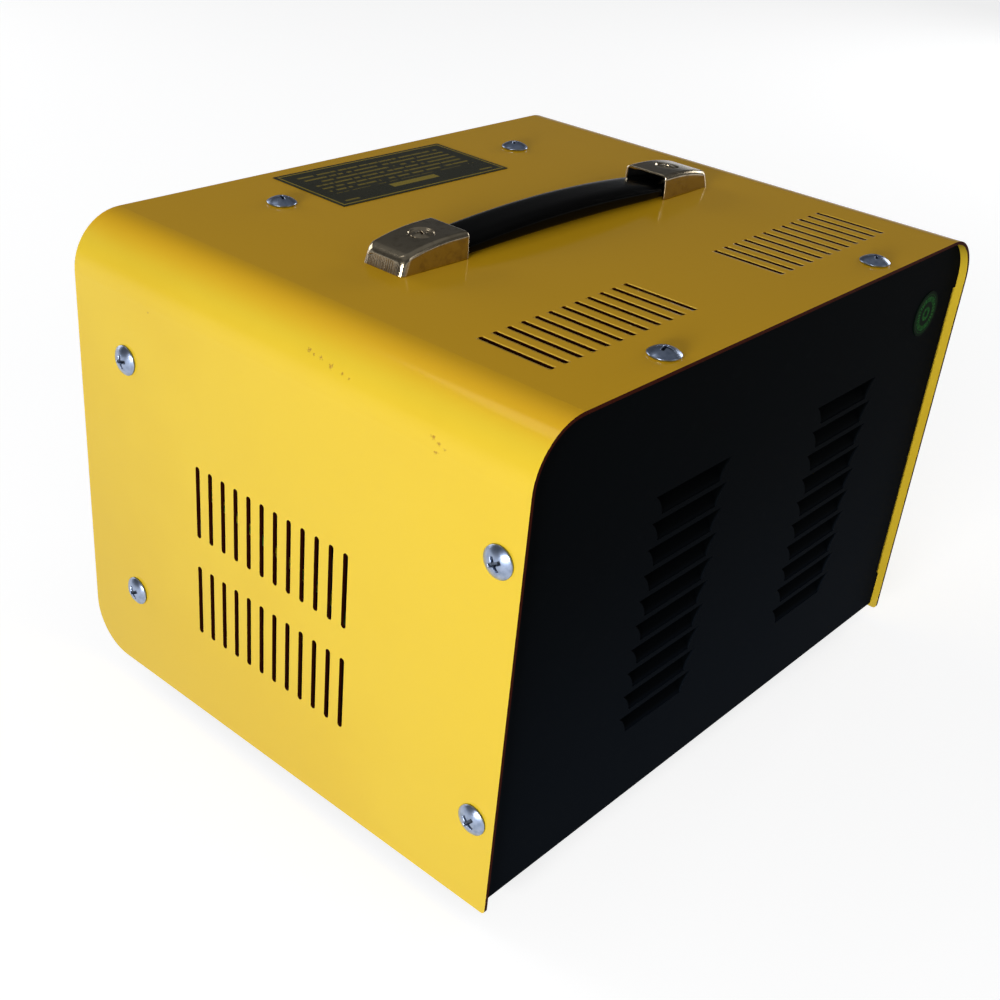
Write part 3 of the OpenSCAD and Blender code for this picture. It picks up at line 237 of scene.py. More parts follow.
dress(enamel.surface({
    "Base Color": enamel.mix(shoulder_and_highlight * 0.3, yellow, tone(250, 214, 120)),
    "Roughness": 0.13 + smear.rise(0.45, 0.85) * 0.09 + scuffs * 0.4,
    "Normal": enamel.bump(peel * 0.012 + sheet_wave * 0.12 - scuffs * 0.05 - shoulder_and_highlight * 0.4),
    "Specular IOR Level": 0.23,
}, shaded_walls, {
    "Base Color": enamel.mix(mottle, tone(72, 22, 7), tone(56, 17, 5)),
    "Roughness": 0.6 + grit * 0.1, "Specular IOR Level": 0.03,
}), "cover")

# Chassis: one steel sheet folded into the front panel, the base and the louvred rear panel,
# sprayed satin black. The louvres' sheared edges are rubbed a little through to bright steel.
# Painted shade darkens the pressed-in louvres, and a painted reflection of the floor makes the
# black lighter and bluer towards the bottom.
panel_y = span_mm("chassis")[1][1]
louvre_edge_z, louvre_pitch = 45.1, 8.9

satin = Finish("satin_black_paint")
x, y, z = satin.axes()
cloud = satin.noise(0.02, 3.0)
fine = satin.noise(1.3, 2.0)
dust = satin.noise(0.16, 4.0, 0.7)
black = satin.mix(cloud, tone(10, 12, 13), tone(13, 16, 19))
# Painted reflection of the floor: the black grows lighter and bluer towards the bottom.
black = satin.mix((1.0 - z.rise(10.0, 150.0)) * 0.7, black, tone(20, 26, 34))
black = satin.mix(dust.rise(0.55, 0.9) * 0.25, black, tone(32, 34, 37))
over_edge = (z - louvre_edge_z) % louvre_pitch
behind = panel_y - y
at_edge = (
    (1.0 - abs(over_edge - 0.05).rise(0.05, 0.3))
    * behind.rise(0.9, 1.4) * (1.0 - behind.rise(3.6, 4.3)))
rubbed = at_edge * satin.noise(0.5, 2.0).rise(0.45, 0.62)
# Painted shade: the pressed-in louvres, just behind the panel face, are darkened to near black.
louvre_shade = behind.rise(0.1, 0.8) * (1.0 - behind.rise(11.8, 12.8))
black = satin.mix(louvre_shade * 0.8, black, tone(2, 3, 3))
black = satin.mix(rubbed * 0.7, black, tone(120, 122, 124))
dress(satin.surface({
    "Base Color": black,
    "Roughness": 0.44 + cloud * 0.08 - rubbed * 0.12,
    "Metallic": rubbed * 0.8,
    "Normal": satin.bump(fine * 0.02),
    "Specular IOR Level": 0.002, "Specular Tint": (0.7, 0.86, 1.0, 1.0),
}), "chassis")

# Plated fixings: screws, nuts and washers of steel with a bright zinc plating, cloudy and
# slightly uneven where the barrel tumbled them. The heads that show are cold-headed domes
# with a punched cross recess, each left at its own turn by the driver. Painted shade darkens
# the recesses, and part of the plating's blue is a painted reflection of a blue sky.
zinc = Finish("bright_zinc")
cloud = zinc.noise(0.6, 3.0)
tumble = zinc.noise(2.4, 2.0)
painted_shade = zinc.node("Attribute", {"attribute_name": "painted_shade"})["Fac"]
# The zinc colour is partly the plating's own and partly a painted reflection of a blue sky, made
# bluer.
plating_and_reflection = zinc.mix(cloud.rise(0.35, 0.7), tone(160, 173, 198), tone(136, 150, 176))
dress(zinc.surface({
    # Painted shade: the colour darkens where the points' shade attribute marks the deep cross
    # recesses.
    "Base Color": zinc.mix(painted_shade * 0.85, plating_and_reflection, tone(34, 38, 44)),
    "Metallic": 1.0,
    "Roughness": 0.25 + cloud * 0.1 + painted_shade * 0.1,
    "Normal": zinc.bump(tumble * 0.01),
}), "foot_screws", "foot_nuts", "handle_washers", "handle_nuts",
    "meter_nuts", "terminal_screws", "core_bolts", "core_nuts", "bracket_screws", "bracket_nuts",
    "heat_sink_screws", "rectifier_screw", "earth_stud", "earth_nut")


def sheet_of(name, points, finish, around=False, ends=(None, None), shade=None):
    """A mesh from rows of points in millimetres, shape (rows, columns, 3) or a stack of such.

    Each point is joined to the next in its row and to the one below it, and each row to
    itself where it runs around. An end point closes the first or the last row as a fan.
    shade is kept as an attribute of the points, a painted shade that darkens their colour, the
    same for every copy.
    """
    points = points if points.ndim == 4 else points[None]
    copies, rows, columns, _ = points.shape
    index = np.arange(copies * rows * columns).reshape(copies, rows, columns)
    last = columns if around else columns - 1
    here, beside = index[:, :, :last], np.roll(index, -1, axis=2)[:, :, :last]
    quads = np.stack([here[:, :-1], beside[:, :-1], beside[:, 1:], here[:, 1:]], axis=-1)
    vertices, faces = [points.reshape(-1, 3)], quads.reshape(-1, 4).tolist()
    count = points.size // 3
    for end, row in zip(ends, (0, -1)):
        if end is not None:
            pole = count + np.arange(copies)[:, None] + np.zeros_like(here[:, row])
            fan = [here[:, row], pole, beside[:, row]]
            fan = fan if row == 0 else fan[::-1]
            faces += np.stack(fan, axis=-1).reshape(-1, 3).tolist()
            vertices.append(np.asarray(end).reshape(-1, 3))
            count += copies
    mesh = bpy.data.meshes.new(name)
    mesh.from_pydata((np.concatenate(vertices) / 1000.0).tolist(), [], faces)
    mesh.polygons.foreach_set("use_smooth", [True] * len(mesh.polygons))
    mesh.materials.append(finish.material)
    if shade is not None:
        stain = mesh.attributes.new("painted_shade", "FLOAT", "POINT")
        stain.data.foreach_set("value", np.resize(shade, len(mesh.vertices)).astype(np.float32))
    piece = bpy.data.objects.new(name, mesh)
    bpy.context.scene.collection.objects.link(piece)
    return piece


def eased(value, low, high):
    """0 below low, 1 above high, 3t^2 - 2t^3 between them."""
    share = np.clip((value - low) / (high - low), 0.0, 1.0)
    return share * share * (3.0 - 2.0 * share)


def cross_screws(name, seats, ways, turns, head_r, dome, recess_r, wing, shank_r, shank_l, finish):
    """Screws with domed heads, one at each seat, its axis along its way.

    The crown is a sphere's cap over a rounded rim, z = dome - R + sqrt(R^2 - r^2). The
    recess is cut into it to a depth that falls with the distance from the middle and is full
    where the lesser of |x| and |y| is under the wing's half width and the greater is inside
    recess_r.
    """
    turn = np.linspace(0.0, 2.0 * np.pi, 96, endpoint=False)
    crown = np.concatenate([
        np.linspace(0.07, recess_r + 0.3, 27), np.linspace(recess_r + 0.45, head_r, 12)])
    rim = dome * 0.26
    under = [head_r - 0.02 * rim, head_r - 0.2 * rim, head_r - 0.75 * rim, head_r - 0.95 * rim]
    r = np.concatenate([crown, under, [shank_r + 0.1, shank_r, shank_r, shank_r * 0.6]])
    sphere = (head_r ** 2 + (dome - rim) ** 2) / (2.0 * (dome - rim))
    low = np.array([0.8 * rim, 0.45 * rim, 0.06 * rim, 0.0, 0.0, -0.3, 0.7 - shank_l, -shank_l])
    rise = np.concatenate([dome - sphere + np.sqrt(sphere ** 2 - crown ** 2), low])
    flat_x, flat_y = np.outer(r, np.cos(turn)), np.outer(r, np.sin(turn))
    least = np.minimum(abs(flat_x), abs(flat_y))
    most = np.maximum(abs(flat_x), abs(flat_y))
    arms = (1.0 - eased(least, wing, wing + 0.16)) * (1.0 - eased(most, recess_r - 0.25, recess_r))
    well = 1.0 - eased(np.hypot(flat_x, flat_y), wing * 1.5, wing * 1.5 + 0.3)
    deepest = 1.75
    cut = np.maximum(arms, well) * (deepest - 0.45 * most)
    cut[len(crown):] = 0.0
    shape = np.stack([flat_x, flat_y, rise[:, None] - cut], axis=-1)
    spin, way = np.radians(turns), np.asarray(ways, float)
    aside = np.where(abs(way[:, 2:]) > 0.5, [[1.0, 0.0, 0.0]], [[0.0, 1.0, 0.0]])
    beside = np.cross(way, aside)
    along_x = aside * np.cos(spin)[:, None] + beside * np.sin(spin)[:, None]
    along_y = np.cross(way, along_x)
    turned = np.stack([along_x, along_y, way], axis=1)
    points = np.einsum("rcj,kji->krci", shape, turned) + np.asarray(seats, float)[:, None, None, :]
    middle = np.array([[0.0, 0.0, rise[0] - deepest], [0.0, 0.0, -shank_l]])
    poles = np.einsum("pj,kji->pki", middle, turned) + np.asarray(seats, float)[None]
    # Painted shade: the deeper the recess is cut, the darker its colour is painted.
    recess_shade = eased(cut, 0.25, 0.7).astype(float).ravel()
    return sheet_of(name, points, finish, around=True, ends=(poles[0], poles[1]), shade=recess_shade)


screw_top_x, screw_low_z, screw_high_z = 59.5, 39.5, 127.0
screw_rear_y = cover_high[1] - 7.9
screw_top_front_y, screw_side_front_y = cover_low[1] + 28.0, cover_low[1] + 25.5
top_seats = [(side * screw_top_x, along, top_z)
             for side in (-1, 1) for along in (screw_top_front_y, screw_rear_y)]
side_seats = [(side * side_x, along, up)
              for side in (-1, 1) for up in (screw_low_z, screw_high_z)
              for along in (screw_side_front_y, screw_rear_y)]
cover_screws = cross_screws(
    "cover_screws_domed", top_seats + side_seats,
    [(0, 0, 1)] * 4 + [(-1, 0, 0)] * 4 + [(1, 0, 0)] * 4,
    [20, 38, 65, 12, 30, 55, 5, 72, 28, 50, 14, 33],
    head_r=5.0, dome=2.55, recess_r=2.35, wing=0.42, shank_r=2.1, shank_l=8.0, finish=zinc)
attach(cover_screws, "case")
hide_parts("cover_screws")

# Feet and grommets: moulded black rubber, matt, greyed a little by handling dust. The feet are
# screwed to the base, and the grommets snap into the holes of the front panel.
rubber = Finish("black_rubber")
bloom = rubber.noise(0.25, 4.0, 0.65)
dress(rubber.surface({
    "Base Color": rubber.mix(bloom.rise(0.45, 0.8), tone(26, 26, 27), tone(46, 46, 47)),
    "Roughness": 0.62 + bloom * 0.2,
    "Normal": rubber.bump(rubber.noise(3.0, 1.0) * 0.02),
}), "rubber_feet", "mains_grommet", "output_grommets")

# Handle caps: drawn from 1 mm steel, open below and at the mouth, nickel plated and buffed
# lengthways. The crown falls towards the end, the end wall is puckered where the metal was
# gathered, and the screw sits in a round dimple. Painted shade darkens the hollows of the
# puckers and the inside of the caps, and part of the nickel's warmth is a painted reflection
# of the yellow cover.
nickel = Finish("buffed_nickel")
buffing = nickel.noise(0.9, 3.0, 0.6, nickel.stretched(0.25, 3.0, 3.0))
stain = nickel.noise(0.3, 3.0, 0.6)
crease_shade = nickel.node("Attribute", {"attribute_name": "painted_shade"})["Fac"]
# Partly painted reflection: the nickel is warmed beyond its own tone to stand for the yellow cover
# reflected in it.
warm_nickel_and_reflection = nickel.mix(stain.rise(0.45, 0.75), tone(184, 170, 145), tone(152, 138, 114))
dress(nickel.surface({
    # Painted shade: the colour darkens where the points' shade attribute marks the hollows of the
    # puckers and the screws' recesses.
    "Base Color": nickel.mix(crease_shade * 0.85, warm_nickel_and_reflection, tone(60, 46, 34)),
    "Metallic": 1.0,
    "Roughness": 0.13 + buffing * 0.1 + stain.rise(0.5, 0.8) * 0.06,
    "Normal": nickel.bump(buffing * 0.008),
}), "handle_cap_right", "handle_cap_left")

handle_turn = math.radians(-0.7)
screws_low, screws_high = span_mm("handle_screws")
handle_middle = np.array([
    (screws_low[0] + screws_high[0]) / 2, (screws_low[1] + screws_high[1]) / 2, top_z])
handle_way = np.array([math.cos(handle_turn), math.sin(handle_turn), 0.0])
handle_across = np.array([-math.sin(handle_turn), math.cos(handle_turn), 0.0])
handle_half_pitch, handle_seat_h = 63.5, 7.25
handle_screws = cross_screws(
    "handle_screws_domed",
    [handle_middle + side * handle_half_pitch * handle_way + (0, 0, handle_seat_h)
     for side in (-1, 1)],
    [(0, 0, 1)] * 2, [25, 60],
    head_r=3.4, dome=1.3, recess_r=1.7, wing=0.34, shank_r=2.0, shank_l=13.7, finish=nickel)
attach(handle_screws, "case")
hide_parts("handle_screws")

# Painted shade: the inside of each cap, where shade falls, is a dark, dull material.
inside_shade = Finish("painted_shade_inside")
inside_mottle = inside_shade.noise(0.4, 3.0)
inside_shade.surface({
    "Base Color": inside_shade.mix(inside_mottle, tone(30, 29, 28), tone(46, 44, 42)),
    "Metallic": 0.6, "Roughness": 0.55 + inside_mottle * 0.1,
})


def pressed_cap(name, side, mouth, node):
    """One cap, as the upper and outer skin of a block with falling crown and steep walls.

    Along it the crown runs level, falls on an arc, and turns down the end wall on a fillet.
    At each station the section goes up one wall, round the edge, and across. The half width
    is 9.1 - 0.018 x - 0.03 z, less the corner's r - sqrt(r^2 - d^2), d its way into the corner,
    and r = 2 + 0.18 z.
    """
    length, height, wall, edge = 28.3, 8.6, 1.0, 1.7
    level, fall, lean = 5.0, 2.4, 1.1
    run = length - 3.4 - level
    arc = (run ** 2 + fall ** 2) / (2.0 * fall)
    # Down the middle: level, falling on the arc, and over the fillet down the end wall
    along = np.concatenate([np.linspace(0.0, level, 16), level + np.linspace(0.3, run, 60)])
    crown = height - arc + np.sqrt(arc ** 2 - np.clip(along - level, 0.0, None) ** 2)
    bend = np.linspace(0.0, 1.0, 18)[1:, None]
    start = np.array([along[-1], crown[-1]])
    knee = np.array([length - lean, crown[-1] - 0.85])
    foot = np.array([length, 0.0])
    past = knee + (foot - knee) * 0.28
    fillet = (1 - bend) ** 2 * start + 2 * bend * (1 - bend) * knee + bend ** 2 * past
    down = past + (foot - past) * np.linspace(0.0, 1.0, 24)[1:, None]
    side_line = np.concatenate([np.stack([along, crown], axis=-1), fillet, down])
    station, top = side_line[:, :1], side_line[:, 1:]
    # Across: up one wall, round its edge, over the crown, and down again
    round_off = np.minimum(edge, top * 0.5)
    climb = np.linspace(0.0, 1.0, 12)[None, :-1]
    quarter = np.linspace(0.0, 0.5 * np.pi, 12)[None, :-1]
    across = np.linspace(1.0, -1.0, 96)[None]
    wall_z, edge_z = (top - round_off) * climb, top - round_off * (1.0 - np.sin(quarter))
    wall_in, edge_in = 0.0 * station * climb, round_off * (1.0 - np.cos(quarter))
    rise = np.concatenate(
        [wall_z, edge_z, top + 0.0 * across, edge_z[:, ::-1], wall_z[:, ::-1]], axis=1)
    drawn_in = np.concatenate(
        [wall_in, edge_in, round_off + 0.0 * across, edge_in[:, ::-1], wall_in], axis=1)
    one_side = np.ones((1, climb.size + quarter.size))
    part = np.concatenate([one_side, across, -one_side], axis=1)
    corner = 2.0 + 0.18 * rise
    into = np.clip(station - (length - lean * rise / 5.0 - corner), 0.0, corner)
    turned_in = corner - np.sqrt(corner ** 2 - into ** 2)
    width = (9.1 - 0.03 * rise - 0.018 * station - drawn_in - turned_in) * part
    # Puckers low on the end wall, and the dimple round the screw
    gathered = (1.0 - eased(rise, 2.4, 5.0)) * eased(station, length - 2.6, length - 1.6)
    gathered = gathered * (1.0 - eased(abs(width), 6.9, 7.9))
    pucker = 0.6 * np.sin(width * 8.3 + 1.7 * np.sin(width * 1.3))
    pucker = pucker + 0.4 * np.sin(width * 14.7 + 2.0)
    reach = station + gathered * 0.055 * (pucker - 1.0)
    from_screw = np.hypot(station - (handle_half_pitch - mouth), width)
    rise = rise - (1.0 - eased(from_screw, 3.7, 4.5)) * 0.75
    from_middle = side * (mouth + reach)[..., None] * handle_way
    flat = handle_middle + from_middle + width[..., None] * handle_across
    points = flat + np.stack([0 * rise, 0 * rise, rise], axis=-1)
    # Painted shade in the hollows of the puckers, kept with the points.
    shadow = gathered * np.clip(0.45 - 0.55 * pucker, 0.0, 1.0)
    outward = slice(None, None, side)
    cap = sheet_of(name, points[:, outward], nickel, shade=shadow[:, outward].ravel())
    shell = cap.modifiers.new("wall", "SOLIDIFY")
    # The inner face of the wall takes the painted shade of the cap's second material.
    shell.thickness, shell.offset, shell.material_offset = wall / 1000.0, -1.0, 1
    cap.data.materials.append(inside_shade.material)
    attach(cap, "case")
    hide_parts(node)


pressed_cap("handle_cap_right_pressed", 1, 51.5, "handle_cap_right")
pressed_cap("handle_cap_left_pressed", -1, 51.3, "handle_cap_left")

# Grip: a soft black vinyl strap with a glossy skin, moulded round a steel strip. Its crown
# and its underside are arched along it, and its shoulders are rounder than its lower edges.
vinyl = Finish("glossy_vinyl")
skin = vinyl.noise(0.5, 2.0, 0.5, vinyl.stretched(0.4, 1.0, 1.0))
vinyl.surface({
    "Base Color": vinyl.mix(skin, tone(4, 4, 4), tone(7, 7, 7)),
    "Roughness": 0.15 + skin * 0.08,
    "Normal": vinyl.bump(skin * 0.03), "Specular IOR Level": 0.05,
})


def moulded_grip():
    """The strap as a sweep: its top is 7.8 - 2.7 t^2 and its underside 0.15 + 0.8 (1 - t^2).

    t is the way along over the way to the cap's mouth. The section is a superellipse
    y = 8.2 |cos a|^p, z = middle + half |sin a|^q, with one pair of powers above its widest
    line and a squarer pair below it.
    """
    mouth, end = 51.0, 66.0
    along = np.linspace(-end, end, 150)[:, None]
    angle = np.linspace(0.0, 2.0 * np.pi, 112, endpoint=False)[None]
    t = along / mouth
    top, under = 7.8 - 2.7 * t ** 2, 0.15 + np.clip(0.8 * (1.0 - t ** 2), 0.0, None)
    girth = under + (top - under) * 0.52
    sine, cosine = np.sin(angle), np.cos(angle)
    above = sine >= 0.0
    side = np.sign(cosine) * np.abs(cosine) ** np.where(above, 0.5, 0.35)
    rise = np.where(above, (top - girth) * np.abs(sine) ** 0.85,
                    -(girth - under) * np.abs(sine) ** 0.5)
    half = 8.2 - 0.35 * np.clip(np.abs(t) - 0.85, 0.0, None) / 0.15
    flat = handle_middle + along[..., None] * handle_way + (half * side)[..., None] * handle_across
    points = flat + np.stack([0 * rise, 0 * rise, girth + rise], axis=-1)
    middle = np.array([0.0, 0.0, 2.0])
    ends = [[handle_middle + handle_way * (at * end) + middle] for at in (-1, 1)]
    grip = sheet_of("handle_grip_moulded", points, vinyl, around=True, ends=ends)
    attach(grip, "case")
    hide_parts("handle_grip")


moulded_grip()

# Handle strip: a flat of spring steel inside the grip, blued and a little streaky. The screws
# of the handle pass through its ends.
strip_steel = Finish("spring_steel")
dress(strip_steel.surface({
    "Base Color": tone(96, 100, 108), "Metallic": 1.0,
    "Roughness": 0.3 + strip_steel.noise(0.8) * 0.15,
}), "handle_strip")

# Top label: a printed black film with a thin yellow border. Its print is left as rows of
# muted bars of no meaning.
label_at = [(low + high) / 2 for low, high in zip(*span_mm("top_label"))]
label_turn = math.radians(-1.5)
label_half_w, label_half_h, border_in = 40.5, 18.5, 1.3
row_pitch, rows_from, rows_to, row_half_l = 3.3, -14.2, 7.1, 34.0

film = Finish("black_label_film")
turned = film.node("Mapping", {"vector_type": "TEXTURE"}, {
    "Vector": film.place, "Location": label_at, "Rotation": (0.0, 0.0, label_turn)})[0]
u, v, _ = film.axes(turned)
edge_gap = (abs(u) - label_half_w).most(abs(v) - label_half_h)
border = 1.0 - abs(edge_gap + border_in).rise(0.22, 0.34)
lines = v - rows_from
row = lines % row_pitch
broken = film.node("CombineXYZ", {}, {0: u * 0.5, 1: (lines - row) * 7.3})[0]
bars = (
    (1.0 - abs(row - row_pitch / 2).rise(0.5, 0.68))
    * film.noise(0.8, 1.0, 0.5, broken).rise(0.4, 0.45)
    * (1.0 - abs(u).rise(row_half_l, row_half_l + 0.4))
    * (1.0 - v.rise(rows_to - 0.2, rows_to)) * v.rise(rows_from, rows_from + 0.2))
title = (1.0 - abs(v - 10.6).rise(1.5, 1.7)) * (1.0 - abs(u).rise(11.0, 11.3))
corners = (1.0 - abs(v - 14.4).rise(0.5, 0.65)) * (1.0 - abs(abs(u) - 33.0).rise(3.0, 3.3))
ground = film.mix(film.noise(0.05, 3.0), tone(50, 50, 36), tone(62, 62, 47))
ink = (border * 0.8).most(bars * 0.42).most(title * 0.6).most(corners * 0.4)
dress(film.surface({
    "Base Color": film.mix(ink, ground, tone(204, 178, 62)),
    "Roughness": 0.22 + film.noise(0.2, 3.0) * 0.12,
    "Normal": film.bump(film.noise(0.3, 2.0) * 0.02), "Specular IOR Level": 0.12,
}), "top_label")

# Rear sticker: a round dot of dark green film, stuck to the panel by its own back. A paler
# broken ring, a hub and a rim stand for its print, which is worn to specks.
dot_low, dot_high = span_mm("rear_sticker")

dot = Finish("green_sticker_film")
x, y, z = dot.axes()
across, up = x - (dot_low[0] + dot_high[0]) / 2, z - (dot_low[2] + dot_high[2]) / 2
radius = (across ** 2.0 + up ** 2.0) ** 0.5
turn = dot.node("Math", {"operation": "ARCTAN2"}, {0: up, 1: across})[0]
ring = (1.0 - abs(radius - 5.4).rise(0.8, 1.1)) * ((turn * 5.0) % 1.0).rise(0.2, 0.4)
hub = 1.0 - abs(radius - 1.9).rise(0.5, 0.8)
rim = (1.0 - abs(radius - 7.0).rise(0.15, 0.3)) * 0.4
specks = dot.noise(1.1, 2.0, 0.6).rise(0.42, 0.62)
printed = ring.most(hub).most(rim) * (0.35 + specks * 0.5)
dress(dot.surface({
    "Base Color": dot.mix(printed, tone(3, 24, 9), tone(44, 124, 50)),
    "Roughness": 0.4 + dot.noise(0.6) * 0.1, "Specular IOR Level": 0.006,
}), "rear_sticker")

# Black mouldings: the ammeter's case, the switch, the fuse holder and the rectifier, of phenolic
# or nylon with a fine grain from the mould.
moulded = Finish("black_moulding")
grain = moulded.noise(2.2, 2.0)
dress(moulded.surface({
    "Base Color": moulded.mix(moulded.noise(0.1), tone(22, 22, 23), tone(30, 30, 31)),
    "Roughness": 0.34 + grain * 0.12,
    "Normal": moulded.bump(grain * 0.012),
}), "meter_case", "switch_body", "fuse_holder", "fuse_cap", "fuse_nut", "bridge_rectifier")

# Ammeter dial: a white card printed with an arc, long and short ticks and a red end zone, and
# with its numbers in flat black ink.
pivot_x, pivot_z, sweep = -48.0, 97.0, 45.0
arc_r, zone_r, number_r, number_h = 26.0, 24.6, 21.7, 3.1
dial_face_y = span_mm("meter_dial")[0][1]

card = Finish("printed_dial")
x, y, z = card.axes()
across, up = x - pivot_x, z - pivot_z
radius = (across ** 2.0 + up ** 2.0) ** 0.5
turn = card.node("Math", {"operation": "ARCTAN2"}, {0: across, 1: up})[0]
step = math.radians(2 * sweep / 10)
steps = (turn + math.radians(sweep)) / step
in_sweep = 1.0 - abs(turn).rise(math.radians(sweep + 0.4), math.radians(sweep + 0.8))
off_arc = radius.rise(arc_r - 0.1, arc_r)
short_gap = abs((steps + 0.5) % 1.0 - 0.5) * step * radius
long_gap = abs((steps / 5.0 + 0.5) % 1.0 - 0.5) * (5.0 * step) * radius
ticks = (1.0 - short_gap.rise(0.12, 0.22)) * off_arc * (1.0 - radius.rise(28.4, 28.5))
longs = (1.0 - long_gap.rise(0.22, 0.34)) * off_arc * (1.0 - radius.rise(29.4, 29.5))
arc = 1.0 - abs(radius - arc_r).rise(0.12, 0.22)
print_ink = ticks.most(longs).most(arc) * in_sweep
in_zone = turn.rise(math.radians(27.0), math.radians(27.2))
zone = (1.0 - abs(radius - zone_r).rise(0.75, 0.85)) * in_sweep * in_zone
white = card.mix(card.noise(0.1), tone(236, 235, 226), tone(228, 226, 214))
white = card.mix(zone, white, tone(186, 34, 28))
white = card.mix(print_ink * 0.92, white, tone(20, 20, 20))
dress(card.surface({"Base Color": white, "Roughness": 0.55 + card.noise(0.5) * 0.1}), "meter_dial")

dial_ink = Finish("dial_ink")
dial_ink.surface({"Base Color": tone(20, 20, 20), "Roughness": 0.5 + dial_ink.noise(0.8) * 0.1})
for number in range(0, 11, 2):
    letters = bpy.data.curves.new("dial_number", "FONT")
    letters.body, letters.size, letters.extrude = str(number), number_h / 1000.0, 0.00002
    letters.align_x, letters.align_y, letters.resolution_u = "CENTER", "CENTER", 3
    flat_number = bpy.data.objects.new("flat_number", letters)
    outline = bpy.data.meshes.new_from_object(flat_number)
    bpy.data.objects.remove(flat_number)
    at = number * step - math.radians(sweep)
    corner_xyz = np.empty(len(outline.vertices) * 3, np.float32)
    outline.vertices.foreach_get("co", corner_xyz)
    right, high, out = corner_xyz.reshape(-1, 3).T
    placed = np.stack([right + (pivot_x + number_r * math.sin(at)) / 1000.0,
                       dial_face_y / 1000.0 - out,
                       high + (pivot_z + number_r * math.cos(at)) / 1000.0], axis=-1)
    outline.vertices.foreach_set("co", placed.astype(np.float32).ravel())
    outline.materials.append(dial_ink.material)
    printed = bpy.data.objects.new(f"dial_number_{number}", outline)
    bpy.context.scene.collection.objects.link(printed)
    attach(printed, "case")

# Ammeter window, movement and pointer: clear acrylic, a lacquered drum, and a needle of black
# painted aluminium.
window = Finish("clear_window")
dress(window.surface({
    "Base Color": (1.0, 1.0, 1.0, 1.0), "Roughness": 0.02 + window.noise(0.2) * 0.03,
    "Transmission Weight": 1.0, "IOR": 1.25,
}), "meter_window")

lacquer = Finish("dark_lacquer")
dress(lacquer.surface({
    "Base Color": lacquer.mix(lacquer.noise(0.2), tone(46, 46, 48), tone(60, 60, 62)),
    "Metallic": 0.3, "Roughness": 0.5,
}), "meter_movement")

pointer_paint = Finish("pointer_paint")
dress(pointer_paint.surface({
    "Base Color": tone(22, 20, 20), "Roughness": 0.4 + pointer_paint.noise(0.8) * 0.1,
}), "meter_pointer")

# Terminals: brass, pressed into blades and a lug and turned into studs and clamp screws. It is
# tarnished in patches.
brass = Finish("tarnished_brass")
tarnish = brass.noise(0.5, 3.0)
dress(brass.surface({
    "Base Color": brass.mix(tarnish.rise(0.4, 0.7), tone(212, 176, 98), tone(164, 126, 62)),
    "Metallic": 1.0, "Roughness": 0.25 + tarnish * 0.15,
}), "meter_terminals", "spade_terminals", "clamp_screws", "earth_lug")

# Mains switch: a glossy rocker moulded in red, which tips on two pins in its body. Its two
# positions are marked by a bar and a ring in white.
switch_x, _, switch_z = [(low + high) / 2 for low, high in zip(*span_mm("switch_rocker"))]
mark_rise = 6.0

rocker = Finish("red_rocker")
x, y, z = rocker.axes()
bar = (1.0 - abs(x - switch_x).rise(0.35, 0.45)) * (
    1.0 - abs(z - switch_z - mark_rise).rise(1.9, 2.0))
from_ring = ((x - switch_x) ** 2.0 + (z - switch_z + mark_rise) ** 2.0) ** 0.5
ring = 1.0 - abs(from_ring - 1.7).rise(0.3, 0.42)
mark = bar.most(ring) * (1.0 - y.rise(-74.0, -73.5)) * 0.9
red = rocker.mix(rocker.noise(0.3), tone(176, 22, 20), tone(164, 18, 18))
dress(rocker.surface({
    "Base Color": rocker.mix(mark, red, tone(238, 236, 230)),
    "Roughness": 0.2 + rocker.noise(0.6) * 0.1,
    "Normal": rocker.bump(rocker.noise(1.5) * 0.01),
}), "switch_rocker")

# Fuse: a glass tube with tinned ends, held by the cap in its holder. It is out of sight there,
# so one bright grey stands for glass and tin.
fuse_tube = Finish("fuse_tube")
dress(fuse_tube.surface({
    "Base Color": tone(214, 218, 214), "Roughness": 0.1 + fuse_tube.noise(0.5) * 0.05,
    "Metallic": 0.4,
}), "fuse")

# Transformer: varnished laminations 1 mm thick held in zinc-plated angles, a nylon bobbin, and
# windings under turns of amber insulating tape.
laminations = Finish("varnished_laminations")
x, y, z = laminations.axes()
layer = abs(y % 1.0 - 0.5)
varnish = laminations.noise(0.15, 4.0)
dress(laminations.surface({
    "Base Color": laminations.mix(varnish, tone(74, 66, 58), tone(98, 90, 82)),
    "Metallic": 0.55, "Roughness": 0.38 + varnish * 0.2,
    "Normal": laminations.bump(layer.rise(0.38, 0.5) * -0.15),
}), "transformer_core")

nylon = Finish("ivory_nylon")
dress(nylon.surface({
    "Base Color": nylon.mix(nylon.noise(0.1, 3.0), tone(222, 214, 190), tone(208, 198, 170)),
    "Roughness": 0.5, "Normal": nylon.bump(nylon.noise(1.5) * 0.02),
}), "bobbin", "terminal_block")

tape = Finish("winding_tape")
x, y, z = tape.axes()
turns = abs(z % 1.3 - 0.65)
crinkle = tape.noise(0.3, 4.0, 0.6, tape.stretched(0.3, 0.3, 1.0))
dress(tape.surface({
    "Base Color": tape.mix(crinkle, tone(196, 140, 40), tone(166, 108, 26)),
    "Roughness": 0.3 + crinkle * 0.2,
    "Normal": tape.bump(turns * 0.25 + crinkle * 0.1),
}), "primary_winding", "secondary_winding")

angle_zinc = Finish("plated_angle")
spangle = angle_zinc.node("TexVoronoi", {}, {"Vector": angle_zinc.place, "Scale": 0.3})[0]
dress(angle_zinc.surface({
    "Base Color": angle_zinc.mix(spangle, tone(168, 170, 170), tone(146, 148, 150)),
    "Metallic": 1.0, "Roughness": 0.34 + spangle * 0.1,
}), "core_bracket_front", "core_bracket_rear")

